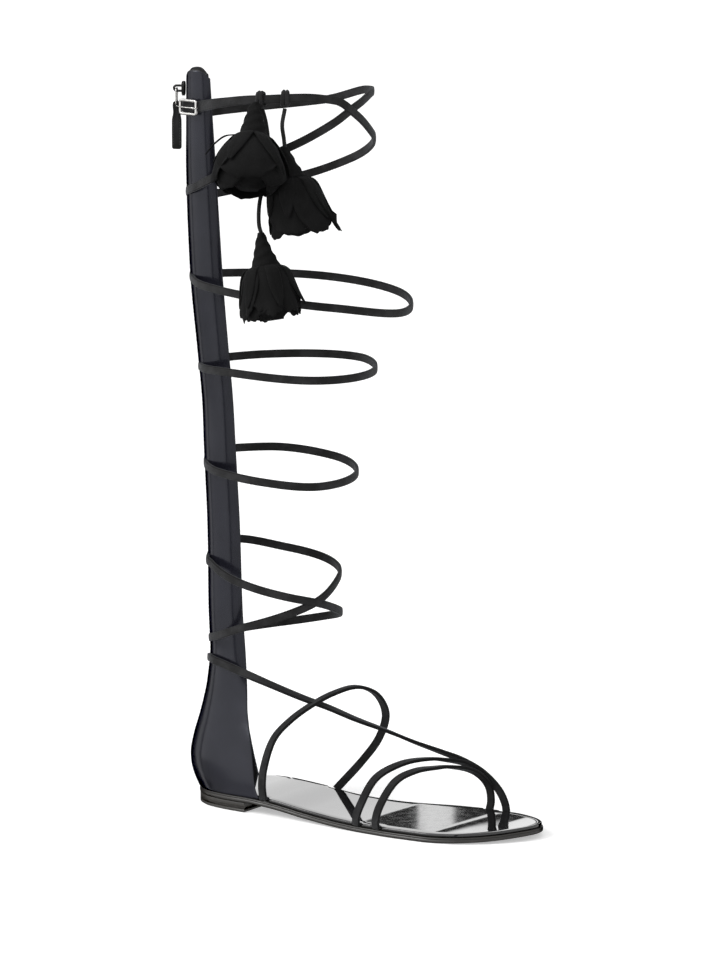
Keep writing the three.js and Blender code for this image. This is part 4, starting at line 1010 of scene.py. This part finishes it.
def zip_pieces():
    """Two twill tapes under the panel's edges, interlocked teeth in two staggered rows,
    and the bottom stop."""
    z = np.linspace(ZIP_BOTTOM + 1.2, PANEL_TOP - 6.4, 260)
    line = panel_point(z, ZIP_BEARING, -WALL / 2 + 0.2)
    tapes = []
    for side in (-1, 1):
        path = line + ZIP_SIDE * (side * 1.62) - ZIP_OUT * 0.25
        section = np.array([(0.75, 0.2), (0.6, 0.32), (-0.6, 0.32), (-0.75, 0.2),
                            (-0.75, -0.2), (-0.6, -0.32), (0.6, -0.32), (0.75, -0.2)])
        tapes.append(sweep(path, section, ZIP_OUT))
    make_piece("zip_tapes", tapes, ZIP_TAPE)

    pitch = 1.5
    heights = np.arange(ZIP_BOTTOM + 3.6, PANEL_TOP - 8.4, pitch / 2)
    side = np.where(np.arange(len(heights)) % 2 == 0, -1.0, 1.0)
    where = panel_point(heights, ZIP_BEARING, -WALL / 2 + 0.3) + ZIP_SIDE * (side * 0.42)[:, None]
    tooth, tooth_faces = pebble(1.0, 0.62, 0.42)
    axes = np.broadcast_to(axes_at(ZIP_SIDE[None], ZIP_OUT[None], UP[None]), (len(heights), 3, 3))
    points, faces = repeated(tooth, tooth_faces, (where, axes))
    stop, stop_faces = pebble(1.5, 0.8, 1.1, 7, 12)
    stop_place = panel_point(np.array([ZIP_BOTTOM + 2.0]), ZIP_BEARING, -WALL / 2 + 0.3)
    stop_points, stop_quads = repeated(stop, stop_faces, (stop_place, axes[:1]))
    make_piece("zip_teeth", [shape(points, faces), shape(stop_points, stop_quads)], ZIP_TEETH,
               stands_for=["zip_chain"])


def slider_piece():
    """Zip slider: a shield-shaped body built of stacked rounded outlines that narrow
    downwards, and the bridge that carries the puller."""
    a = 2 * np.pi * np.arange(40) / 40
    soft = lambda v: np.sign(v) * np.abs(v) ** 0.62
    rows = np.array([(0.75, 0.0), (0.75, 0.8), (0.95, 0.95), (1.3, 1.0), (1.75, 0.985), (1.9, 0.93),
                     (2.05, 0.985), (2.4, 1.0), (2.75, 0.93), (2.95, 0.8), (3.02, 0.55), (3.02, 0.0)])
    up = 4.8 * soft(np.sin(a))
    wide = 3.0 * soft(np.cos(a)) * (1 - 0.13 * (1 - up / 4.8))
    out, grow = rows[:, 0][:, None], rows[:, 1][:, None]
    points = (SLIDER_BASE + (grow * wide)[..., None] * ZIP_SIDE + (grow * up)[..., None] * UP
              + (out + 0 * grow * up)[..., None] * ZIP_OUT)
    body = shape(points, grid_faces(len(rows), len(a), close_columns=True))
    turn = np.linspace(0, np.pi, 26)
    arch = (PULLER_PIVOT + 1.7 * np.cos(turn)[:, None] * UP + 1.7 * np.sin(turn)[:, None] * ZIP_OUT)
    foot = lambda p: p + ZIP_OUT * (2.4 - BAR_OUT)
    path = evenly(np.vstack([foot(arch[0]), arch, foot(arch[-1])]), 60)
    bridge = sweep(path, circle(0.62, 14) * (1.25, 0.9), ZIP_SIDE)
    make_piece("zip_slider_body", [body, bridge], ZIP_TEETH, stands_for=["zip_slider"],
               merge=True)


def puller_pieces():
    """Wire link and leather tab of the zip, with the tab's stitches."""
    link = rect_loop(PULLER_PIVOT - UP * 5.4, ZIP_SIDE, -UP, 2.6, 5.4, 1.6, 10)
    wire = sweep(evenly(link, 150, closed=True), circle(0.45), ZIP_OUT, closed=True)
    make_piece("puller_link", [wire], NICKEL, body="puller",
               stands_for=["zip_puller_ring"])

    eye_place = PULLER_PIVOT - UP * 10.8
    side_rows = np.array([(-2.4, 1.3), (-2.1, 1.9), (-1.4, 2.45), (0.5, 2.6), (3.0, 2.35), (5.0, 2.2),
                          (7.2, 2.65), (9.5, 3.1), (18.0, 3.15), (27.4, 3.1), (28.3, 2.7), (28.6, 2.0)])
    outline = np.vstack([side_rows[:, ::-1], side_rows[::-1, ::-1] * (-1, 1)])
    rim = softened(evenly(outline, 160, closed=True), 2)
    a = np.linspace(0, 2 * np.pi, 160, endpoint=False)
    eye = 0.95 * np.stack([np.sin(a + 0.5), -np.cos(a + 0.5)], -1)
    normal = loop_outwards(rim)
    if np.sum(normal * (rim - rim.mean(0))) < 0:
        normal = -normal
    half = 0.9
    edge = [(0.45, half), (0.2, half - 0.08), (0.04, half - 0.25), (0.0, half - 0.5)]
    edge = edge + [(i, -h) for i, h in edge[::-1]]
    rings = [(eye, half), (eye * 0.4 + (rim - normal * 1.6) * 0.6, half), (rim - normal * 1.25, half),
             (rim - normal * 0.95, half - 0.16), (rim - normal * 0.7, half)]
    rings = rings + [(rim - normal * i, h) for i, h in edge] + [(r, -h) for r, h in rings[::-1]]
    points = np.array([
        eye_place + r[:, :1] * ZIP_OUT - r[:, 1:] * UP + h * ZIP_SIDE for r, h in rings])
    tab = shape(points, grid_faces(len(rings), 160, close_rows=True, close_columns=True))
    make_piece("zip_pull_leather", [tab], TAB_SUEDE, body="puller",
               stands_for=["zip_pull_tab"])

    drop = np.arange(9.6, 27.0, 1.75)
    stitch, stitch_faces = pebble(0.2, 0.17, 0.62, 5, 6, 0.9)
    spots = [eye_place + ZIP_OUT * (s * 2.15) - UP * d + ZIP_SIDE * (f * 0.84)
             for s in (-1, 1) for f in (-1, 1) for d in drop]
    axes = np.broadcast_to(axes_at(ZIP_OUT[None], ZIP_SIDE[None], UP[None]), (len(spots), 3, 3))
    points, faces = repeated(stitch, stitch_faces, (np.array(spots), axes))
    make_piece("zip_pull_stitches", [shape(points, faces)], THREAD, body="puller")


def panel_stitches():
    """A row of short stitches down each side of the zip, two millimetres in from the edge
    of the leather."""
    z = np.arange(ZIP_BOTTOM + 4, PANEL_TOP - 8, 2.6)
    rows = []
    stitch, stitch_faces = pebble(0.17, 0.14, 0.92, 5, 6, 0.9)
    for way in (-1, 1):
        deg = ZIP_BEARING + way * np.degrees((ZIP_HALF_GAP + 1.9) / panel_reach(z, ZIP_BEARING + 0 * z))
        spot, near = panel_point(z, deg, 0.03), panel_point(z + 0.5, deg, 0.03)
        out, along = bearing(deg), unit(near - spot)
        across = unit(np.cross(out, along))
        points, faces = repeated(stitch, stitch_faces, (spot, axes_at(across, out, along)))
        rows.append(shape(points, faces))
    make_piece("panel_stitches", rows, THREAD)


# ---------------------------------------------------------------- buckle and loops
TOP_STRAND = LEG_STRANDS["top_wrap_strap"][0]


def on_top_strand(turn):
    """Place, outward direction and strap width on the top strand at a turn."""
    rows = np.array(TOP_STRAND[3], float)
    z = table_value(rows, 1, turn)
    point, normal = loop_point(*TOP_STRAND[:3], turn, z, hugs=True)
    return point, normal, float(table_value(rows, 2, turn))


def buckle_pieces():
    """Square nickel buckle: a flattened rounded bar round a small rectangle, with a
    tapering prong that starts as a loop round one bar and rests on the other."""
    spot, normal, _ = on_top_strand(BUCKLE_TURN)
    along = np.array([-normal[1], normal[0], 0.0])
    centre = spot + normal * (STRAP_THICK / 2 + GAP + BUCKLE_BAR)
    soft = circle(1.0, 16)
    section = np.sign(soft) * np.abs(soft) ** 0.6 * (0.92, 0.8)
    frame_path = evenly(rect_loop(centre, along, UP, *BUCKLE_HALF, 1.3, 10), 170, closed=True)
    make_piece("buckle_square", [sweep(frame_path, section, normal, closed=True)], NICKEL,
               stands_for=["buckle_frame"])

    base = centre + normal * (0.85 + GAP + 0.6)
    s = np.linspace(7.3, -7.2, 60)
    sag = -0.55 * smoothstep(s, 4.8, 7.3) + 0.12 * np.cos(s / 7.2 * np.pi / 2)
    path = base + s[:, None] * along + sag[:, None] * normal
    radius = 0.55 - 0.18 * smoothstep(-s, -4, 7.2)
    prong = sweep(path, circle(1.0, 12)[None] * radius[:, None, None], normal)
    turn = np.linspace(-2.1, 2.1, 26)
    hook_centre = centre + along * BUCKLE_HALF[0]
    hook = (hook_centre + 1.42 * np.cos(turn)[:, None] * along + 1.42 * np.sin(turn)[:, None] * normal)
    collar = sweep(hook, circle(0.42, 10) * (1.9, 1.0), UP)
    make_piece("buckle_prong", [prong, collar], NICKEL, stands_for=["buckle_pin"])


def thong_loop_piece(name):
    """Leather thong tied over the top strap: two flat turns side by side."""
    spot, normal, width = on_top_strand(THONG_LOOP_TURNS[name])
    along = np.array([-normal[1], normal[0], 0.0])
    turns = []
    for side, lean in ((-1, 0.22), (1, -0.18)):
        path = rect_loop(spot + along * (side * 1.3), normal, UP,
                         STRAP_THICK / 2 + GAP + 0.85, width / 2 + GAP + 1.3, 1.1, 8)
        path = path + along * (lean * (path[:, 2:] - spot[2]) / 3)
        turns.append(sweep(evenly(path, 90, closed=True), circle(1.35, 14, 0.62), normal, closed=True))
    make_piece(name + "_knot", turns, STRAP_SUEDE, stands_for=[name])


# ---------------------------------------------------------------- roses
# Top of the cap, lean of the axis per millimetre of drop, size factor.
ROSES = {
    "rose_upper": ((66.5, -42.5, 461.0), (0.18, -0.47), 1.02),
    "rose_middle": ((85.0, -37.0, 434.0), (0.24, -0.03), 1.0),
    "rose_lower": ((80.0, -57.0, 380.0), (0.22, -0.1), 0.98),
}
ROUND_BUD = np.array([(0, 1.9), (6, 3.2), (14, 5.4), (20, 7.6), (23, 10.4), (27, 13.8), (33, 17.4),
                      (41, 20.0), (48, 20.0), (54, 16.6), (59, 11.0)])
SKIRT_BUD = np.array([(0, 1.9), (6, 3.0), (13, 5.0), (18, 6.8), (21, 12.0), (26, 14.8), (34, 16.4),
                      (42, 17.4), (50, 18.0), (57, 17.8)])
BUD_SHAPES = {"rose_upper": ROUND_BUD, "rose_middle": SKIRT_BUD, "rose_lower": SKIRT_BUD}
# Cap of each rose: where it starts and ends along the axis, and how much blunter its top is.
CAPS = {"rose_upper": (-1.5, 20.6, 1.0), "rose_middle": (-1.0, 18.4, 0.0),
        "rose_lower": (-3.0, 19.0, 0.0)}
# How far the sepals stand out from the bud, and how ragged the petals' hems are.
SEPAL_PROUD = {"rose_upper": 3.6, "rose_middle": 2.1, "rose_lower": 2.1}
RAGGED = {"rose_upper": 0.3, "rose_middle": 0.4, "rose_lower": 1.2}
# Petals: bearing of the middle, half span in degrees, where it starts, its length, how
# far out its layer lies, how its hem flares and rolls, ripple, ripple phase.
PETALS = {
    "rose_upper": [
        (130, 88, 19, 38, -1.2, 0.4, 0.25, 0.3), (20, 92, 19, 38, -0.9, 0.6, 0.3, 1.7),
        (240, 84, 19, 39, -0.4, 1.6, 0.3, 2.9), (60, 70, 18, 36, 0.6, 1.2, 0.35, 2.2),
        (160, 66, 18, 36, 0.4, 1.4, 0.4, 0.8), (222, 56, 18, 35, 1.2, 2.6, 0.3, 3.3),
        (352, 58, 18, 37, 0.8, 1.6, 0.3, 4.1), (300, 66, 18, 36, 1.5, 2.4, 0.2, 5.0)],
    "rose_middle": [
        (120, 90, 17, 38, -1.6, 0.4, 0.5, 0.9), (10, 90, 17, 38, -1.2, 0.8, 0.5, 2.4),
        (240, 88, 17, 38, -0.8, 0.6, 0.5, 3.8), (180, 70, 16, 36, 0.3, 1.0, 0.5, 2.0),
        (80, 60, 16, 38, 0.6, 1.4, 0.6, 4.4), (290, 66, 16, 38, 0.2, 1.0, 0.4, 0.2),
        (345, 44, 16, 40, 0.9, 3.0, 0.6, 5.2), (22, 34, 16, 41, 1.4, 6.0, 0.7, 1.1)],
    "rose_lower": [
        (130, 90, 18, 34.5, -1.6, 0.3, 0.6, 0.5), (15, 90, 18, 34.5, -1.3, 0.5, 0.6, 2.0),
        (250, 88, 18, 35, -0.8, 0.5, 0.7, 3.5), (160, 70, 17, 34.5, 0.1, 0.6, 0.7, 1.6),
        (60, 62, 17, 34.5, 0.3, 0.6, 0.8, 5.4), (300, 52, 17, 34.5, 0.4, 0.5, 0.8, 0.9),
        (350, 48, 17, 34, 0.7, 0.8, 0.7, 2.7), (240, 46, 17, 35.5, 0.6, 0.5, 0.8, 4.3)],
}
# Sepals: bearing, start, length, half width, how far the tip stands off, sideways drift.
SEPALS = {
    "rose_upper": [
        (274, 17, 26, 5.8, 0.9, -4), (326, 17, 30, 4.8, 1.2, 30), (30, 17, 26, 5.2, 2.0, 8),
        (110, 17, 26, 5.4, 2.0, -6), (195, 17, 20, 4.6, 2.4, -8)],
    "rose_middle": [
        (290, 16, 27, 5.4, 0.8, -4), (348, 16, 32, 5.0, 2.4, 14), (38, 16, 32, 5.0, 4.0, 6),
        (130, 16, 26, 5.0, 2.0, -6), (240, 16, 24, 5.0, 0.4, -4)],
    "rose_lower": [
        (262, 17, 28, 4.8, 0.7, -6), (318, 17, 30, 4.8, 0.7, 4), (8, 17, 30, 4.4, 4.0, 10),
        (110, 17, 26, 4.8, 1.6, -6), (205, 17, 27, 4.6, 1.2, -8)],
}


def rose_axes(name):
    """Top of a rose, its unit axis pointing down the bud, and two directions square to it
    that turn with the plan bearings."""
    (x, y, z), (lean_x, lean_y), size = ROSES[name]
    down = unit(np.array([lean_x, lean_y, -1.0]))
    east = unit(np.array([1.0, 0.0, 0.0]) - down[0] * down)
    north = -np.cross(down, east)
    if north[1] < 0:
        north = -north
    return np.array([x, y, z]), down, east, north, size


def rose_place(name, drop, radius, deg):
    """Point of a rose from its drop along the axis, its distance from it and a bearing."""
    top, down, east, north, size = rose_axes(name)
    a = np.radians(deg)
    drop, radius, a = np.broadcast_arrays(drop, radius, a)
    return (top + size * (drop[..., None] * down + (radius * np.cos(a))[..., None] * east
                          + (radius * np.sin(a))[..., None] * north))


def leaf_shell(centre, thick):
    """Closes a curved sheet into a thin leaf: the sheet is moved half the thickness to
    both sides along its normals, the thickness easing to a third at the free edges, and
    the two faces are joined round the border."""
    rows, columns = centre.shape[:2]
    normal = unit(np.cross(np.gradient(centre, axis=1), np.gradient(centre, axis=0)) + 1e-9)
    v = np.linspace(0, 1, rows)[:, None]
    u = np.linspace(-1, 1, columns)[None]
    edge = np.minimum(1 - v, 0.5 * (1 - np.abs(u)))
    half = 0.5 * thick * (0.4 + 0.6 * smoothstep(edge, 0.0, 0.06))[..., None]
    outer, inner = centre + normal * half, centre - normal * half
    count = rows * columns
    numbers = np.arange(count).reshape(rows, columns)
    border = np.concatenate([numbers[0, :-1], numbers[:-1, -1], numbers[-1, :0:-1], numbers[:0:-1, 0]])
    ahead = np.roll(border, -1)
    wall = np.stack([border, ahead, ahead + count, border + count], -1)
    front = grid_faces(rows, columns)
    faces = np.vstack([front[:, ::-1], front + count, wall])
    uv = np.stack(np.broadcast_arrays(v * 0.04, 0.5 + 0.5 * u), -1).reshape(-1, 2)
    return shape(np.vstack([outer.reshape(-1, 3), inner.reshape(-1, 3)]), faces, np.vstack([uv, uv]))


def petal(name, deg, span, start, length, layer, flare, ripple, phase):
    """One petal: u runs across from -1 to 1, v down from 0 to 1. The drop is shorter at
    the sides, which rounds the hem; the radius follows the bud plus the layer, a flare
    growing with v to the fourth, and a ripple that grows towards the hem; the sides lift
    a little so that one petal's edge stands over the next."""
    v = np.linspace(0, 1, 26)[:, None]
    u = np.linspace(-1, 1, 30)[None]
    ragged = RAGGED[name] * (0.03 * np.sin(7 * u + phase * 2) + 0.02 * np.sin(17 * u + phase))
    drop = start + length * v * (1 - 0.26 * np.abs(u) ** 2.6 + ragged * v)
    bud = table_value(BUD_SHAPES[name], 1, np.clip(drop, 0, 57))
    radius = (bud + layer * smoothstep(v, 0.0, 0.35) + flare * v**4
              + ripple * v**2 * np.sin(5 * u + phase) + 0.55 * ripple * v**3 * np.sin(11 * u + 2 * phase)
              + 0.9 * np.abs(u) ** 5 * smoothstep(v, 0.15, 0.5))
    open_out = 0.72 + 0.28 * np.sin(np.pi * np.clip(v * 0.9 + 0.1, 0, 1))
    turn = deg + span * u * open_out + 7 * v * np.sin(phase)
    return leaf_shell(rose_place(name, drop, radius, turn), 1.0)


def sepal(name, deg, start, length, half_width, stand_off, drift):
    """One blunt sepal: its half width is the sine of pi times v to the 0.75, raised to
    0.6, so it is narrow at the cap, widest a third down and rounded at the tip; its
    radius stands off with v cubed, its middle is folded and its sides cupped."""
    v = np.linspace(0, 1, 26)[:, None]
    u = np.linspace(-1, 1, 13)[None]
    drop = start + length * v
    bud = table_value(BUD_SHAPES[name], 1, np.clip(drop, 0, 57))
    width = half_width * (np.sin(np.pi * np.clip(v * 0.93 + 0.07, 0, 0.985) ** 0.75)) ** 0.6
    cupped = 0.5 * np.abs(u) ** 2 * smoothstep(v, 0.1, 0.4)
    folded = 0.25 * np.exp(-(u / 0.16) ** 2)
    radius = (bud + SEPAL_PROUD[name] * smoothstep(v, 0.0, 0.22) + stand_off * v**3
              - cupped - folded)
    turn = deg + drift * v**1.5 + np.degrees(u * width / np.maximum(bud + 1.9, 6.0))
    return leaf_shell(rose_place(name, drop, radius, turn), 0.8)


def rose_cap(name):
    """Cap of a rose: suede rolled into a cone. The radius grows down the cone and, round
    it, by a spiral step that leaves a visible overlap; the lower lip spreads a little."""
    top, end, blunt = CAPS[name]
    drop = np.concatenate([[top, top], np.linspace(top + 0.15, end - 0.2, 48), [end, end - 0.6]])[:, None]
    turn = np.linspace(0, 360, 72, endpoint=False)[None]
    share_down = (drop - top) / (end - top)
    cone = np.interp(share_down, [0, 0.12, 0.4, 0.66, 0.88, 1], [1.9, 2.7, 4.6, 6.3, 7.8, 9.0])
    share = ((turn - 300 - 6 * drop) / 360) % 1.0
    step = np.where(share < 0.06, 1 - share / 0.06, (share - 0.06) / 0.94)
    cone = cone + blunt * (1 - share_down)
    overlap = 0.75 * step * smoothstep(drop, top, top + 4)
    radius = cone + overlap + 0.25 * np.sin(np.radians(turn * 3) + drop)
    radius[0], radius[-1] = 0.05, cone[-1] - 1.6
    points = rose_place(name, drop, radius, turn)
    faces = grid_faces(len(drop), 72, close_columns=True).tolist()
    faces += [list(range(72))[::-1], list(range((len(drop) - 1) * 72, len(drop) * 72))]
    return shape(points, faces)


def rose_heart(name):
    """The closed heart inside the petals: a bud of 0.86 of the radius whose end folds
    inwards in a five-fold swirl."""
    drop = np.linspace(17, 54, 30)[:, None]
    turn = np.linspace(0, 360, 60, endpoint=False)[None]
    bud = 0.86 * table_value(BUD_SHAPES[name], 1, drop) * (1 - 0.5 * smoothstep(drop, 46, 54))
    radius = bud * (1 + 0.05 * smoothstep(drop, 34, 54) * np.sin(np.radians(5 * turn + 9 * drop)))
    points = rose_place(name, drop, radius, turn)
    faces = grid_faces(len(drop), 60, close_columns=True).tolist()
    faces += [list(range(60))[::-1], list(range((len(drop) - 1) * 60, len(drop) * 60))]
    return shape(points, faces)


def long_sepal(name, rows, width):
    """A long free sepal: a tapering strip along a curve given by drop, radius, bearing."""
    rows = np.array(rows, float)
    path = through(rose_place(name, rows[:, 0], rows[:, 1], rows[:, 2]), 44)
    s = np.linspace(0, 1, 44)[:, None]
    half = width * (0.35 + 0.65 * np.sin(np.pi * (0.12 + 0.8 * s)) ** 0.8) * (1 - 0.75 * s**3)
    a = 2 * np.pi * np.arange(12) / 12
    section = np.stack([half * np.cos(a), 0.42 * np.sin(a) - 0.25 * np.cos(a) ** 2 * half / width], -1)
    outward = unit(path - rose_place(name, rows[0, 0] + 6, 0.0, 0.0))
    return sweep(path, section, outward)


def rose_pieces(name):
    """All pieces of one rose."""
    petals = [petal(name, *row) for row in PETALS[name]]
    bud = make_piece(name + "_petals", petals + [rose_heart(name)], ROSE_SUEDE,
                     stands_for=[name])
    leaves = [sepal(name, *row) for row in SEPALS[name]]
    if name == "rose_upper":
        leaves.append(long_sepal(name, [(20, 7.5, 222), (20.6, 12, 216), (21.8, 17.2, 213),
                                        (26, 22, 212), (31.5, 26, 212), (35, 28, 212)], 2.3))
    sepals = make_piece(name + "_sepals", leaves, ROSE_SUEDE)
    cap = make_piece(name + "_cap", [rose_cap(name)], ROSE_SUEDE)
    return [bud, sepals, cap]


def thong(rows, count):
    """Soft leather thong: nearly round, with one flatter side, along a smooth curve."""
    path = through(rows, count)
    a = 2 * np.pi * np.arange(16) / 16
    r = THONG_DIAMETER / 2
    section = np.stack([r * np.cos(a), r * 0.94 * np.sin(a)], -1)
    return path, sweep(path, section, np.array([0.53, -0.85, 0.0]))


def hanging_pieces():
    """The long thong, the three roses and the short stem."""
    path, tube = thong(THONG_LONG, 60)
    cord = make_piece("rose_thong_cord", [tube], STRAP_SUEDE, stands_for=["rose_thong"])
    roses = {name: rose_pieces(name) for name in ROSES}
    make_piece("rose_middle_stem", [thong(SHORT_STEM, 26)[1]], STRAP_SUEDE)


# ---------------------------------------------------------------- studio
INSOLE_BEARING = 0.8389  # share of a turn that the flat insole mirrors to the camera


def make_world():
    """White studio. Camera rays see plain white; other rays see the tent round the shoe:
    a large soft light, brighter above, between two narrow dark joints, closed by a third
    below, and two darker cards behind, which draw the edges of the glossy leather. What
    the insole mirrors is bright at the heel and arch and dark towards the toes, with one
    bright strip."""
    world = bpy.data.worlds.new("studio")
    bpy.context.scene.world = world
    world.use_nodes = True
    g = Graph(world.node_tree)
    g.tree.nodes.clear()
    way = g.node("ShaderNodeTexCoord").outputs["Generated"]
    around = g.node("ShaderNodeTexGradient", {"Vector": way}, gradient_type="RADIAL").outputs[1]
    height = g.node("ShaderNodeSeparateXYZ", {0: way}).outputs["Z"]

    def joint(centre, half):
        off = g.math("ABSOLUTE", g.math("SUBTRACT", around, centre))
        return g.between(off, half * 1.5, half, 0.0, 1.0)

    left, right = 0.05, 0.2994
    sides = g.math("MAXIMUM", joint(left, 0.0075), joint(right, 0.0075))
    sides = g.math("MULTIPLY", sides, g.between(height, -0.54, -0.48))
    inside = g.between(g.math("ABSOLUTE", g.math("SUBTRACT", around, (left + right) / 2)), 0.125, 0.118)
    below = g.between(g.math("ABSOLUTE", g.math("ADD", height, 0.5)), 0.06, 0.03)
    lines = g.math("MAXIMUM", sides, g.math("MULTIPLY", inside, below))
    cards = g.math("MAXIMUM", joint(0.745, 0.055), joint(0.935, 0.05))
    soft_box = g.math("MULTIPLY", inside, g.between(height, -0.225, -0.13, -0.3, 0.45))
    ground = g.math("MULTIPLY", g.between(height, -0.44, -0.56), 0.4)
    light = g.math("SUBTRACT", g.math("ADD", 0.8, soft_box), ground)
    light = g.math("SUBTRACT", light, g.math("MULTIPLY", cards, 0.85))
    light = g.math("MULTIPLY", light, g.math("SUBTRACT", 1.0, g.math("MULTIPLY", lines, 0.95)))
    behind = g.math("MULTIPLY", joint(INSOLE_BEARING, 0.03), g.between(height, 0.02, 0.06))
    shine = g.math("MAXIMUM", g.between(around, INSOLE_BEARING - 0.0004, INSOLE_BEARING + 0.0003),
                   joint(INSOLE_BEARING - 0.0016, 0.0003))
    shine = g.math("MAXIMUM", shine, g.between(height, 0.221, 0.235))
    level = g.math("ADD", 0.03, g.math("MULTIPLY", shine, 1.2))
    light = g.math("ADD", g.math("MULTIPLY", light, g.math("SUBTRACT", 1.0, behind)),
                   g.math("MULTIPLY", behind, level))
    tent = g.node("ShaderNodeBackground", {"Color": (1.0, 1.0, 1.0, 1), "Strength": light})
    plain = g.node("ShaderNodeBackground", {"Color": (1, 1, 1, 1), "Strength": 1.0})
    seen = g.node("ShaderNodeLightPath").outputs["Is Camera Ray"]
    both = g.node("ShaderNodeMixShader", {0: seen, 1: tent.outputs[0], 2: plain.outputs[0]})
    g.node("ShaderNodeOutputWorld", {"Surface": both.outputs[0]})


def make_floor(half=9.0, steps=24):
    """Wide pale floor whose far edges rise gently, as paper does."""
    x = np.linspace(-half, half, steps)
    gx, gy = np.meshgrid(x, x, indexing="ij")
    away = np.maximum(np.abs(gx), np.abs(gy))
    z = 1.2 * smoothstep(away, half * 0.75, half) ** 2 - 0.0002
    mesh = bpy.data.meshes.new("floor")
    points = np.stack([gx, gy, z], -1).reshape(-1, 3)
    mesh.from_pydata(points.tolist(), [], grid_faces(steps, steps)[:, ::-1].tolist())
    mesh.polygons.foreach_set("use_smooth", np.ones(len(mesh.polygons), bool))
    material, g, shader, where = new_material("paper_floor", grey(0.9), Roughness=0.9,
                                              Specular_IOR_Level=0.1, Emission_Strength=0.42)
    shader.inputs["Emission Color"].default_value = grey(1.0)
    g.tree.links.new(g.mix(g.noise(where, 3.0), grey(0.9), grey(0.92)), shader.inputs["Base Color"])
    mesh.materials.append(material)
    floor = bpy.data.objects.new("floor", mesh)
    bpy.context.scene.collection.objects.link(floor)
    floor.visible_glossy = False


def add_lamp(name, place, aim, size, power):
    """Rectangular soft lamp that the camera doesn't see."""
    data = bpy.data.lights.new(name, "AREA")
    data.shape, data.size, data.size_y, data.energy = "RECTANGLE", size[0], size[1], power
    lamp = bpy.data.objects.new(name, data)
    bpy.context.scene.collection.objects.link(lamp)
    lamp.location = place
    lamp.rotation_mode = "QUATERNION"
    lamp.rotation_quaternion = (Vector(aim) - Vector(place)).to_track_quat("-Z", "Y")
    lamp.visible_camera = False
    return lamp


# ---------------------------------------------------------------- build
make_camera()
hanging_pieces()
sole_pieces()
for half_name, edge_column in (("back_panel_lateral", OUTER_EDGE), ("back_panel_medial", INNER_EDGE)):
    wall, lining_faces = panel_half(edge_column)
    make_piece(half_name + "_wall", [wall], [CALF, LINING],
               stands_for=[half_name], pick=lining_faces)
zip_pieces()
slider_piece()
puller_pieces()
panel_stitches()
for strap_name, strands in LEG_STRANDS.items():
    make_piece(strap_name + "_suede", [leg_strand(*strand) for strand in strands], STRAP_SUEDE,
               stands_for=[strap_name])
make_piece("vamp_straps_suede", [foot_strand(rows, 200) for rows in FOOT_STRANDS.values()],
           STRAP_SUEDE, stands_for=["vamp_straps"])
buckle_pieces()
for loop_name in THONG_LOOP_TURNS:
    thong_loop_piece(loop_name)
make_world()
make_floor()
add_lamp("key_lamp", (-1.6, -2.2, 2.4), (0.05, 0, 0.25), (1.6, 1.6), 60.0)
bpy.context.scene.view_settings.view_transform = "Standard"
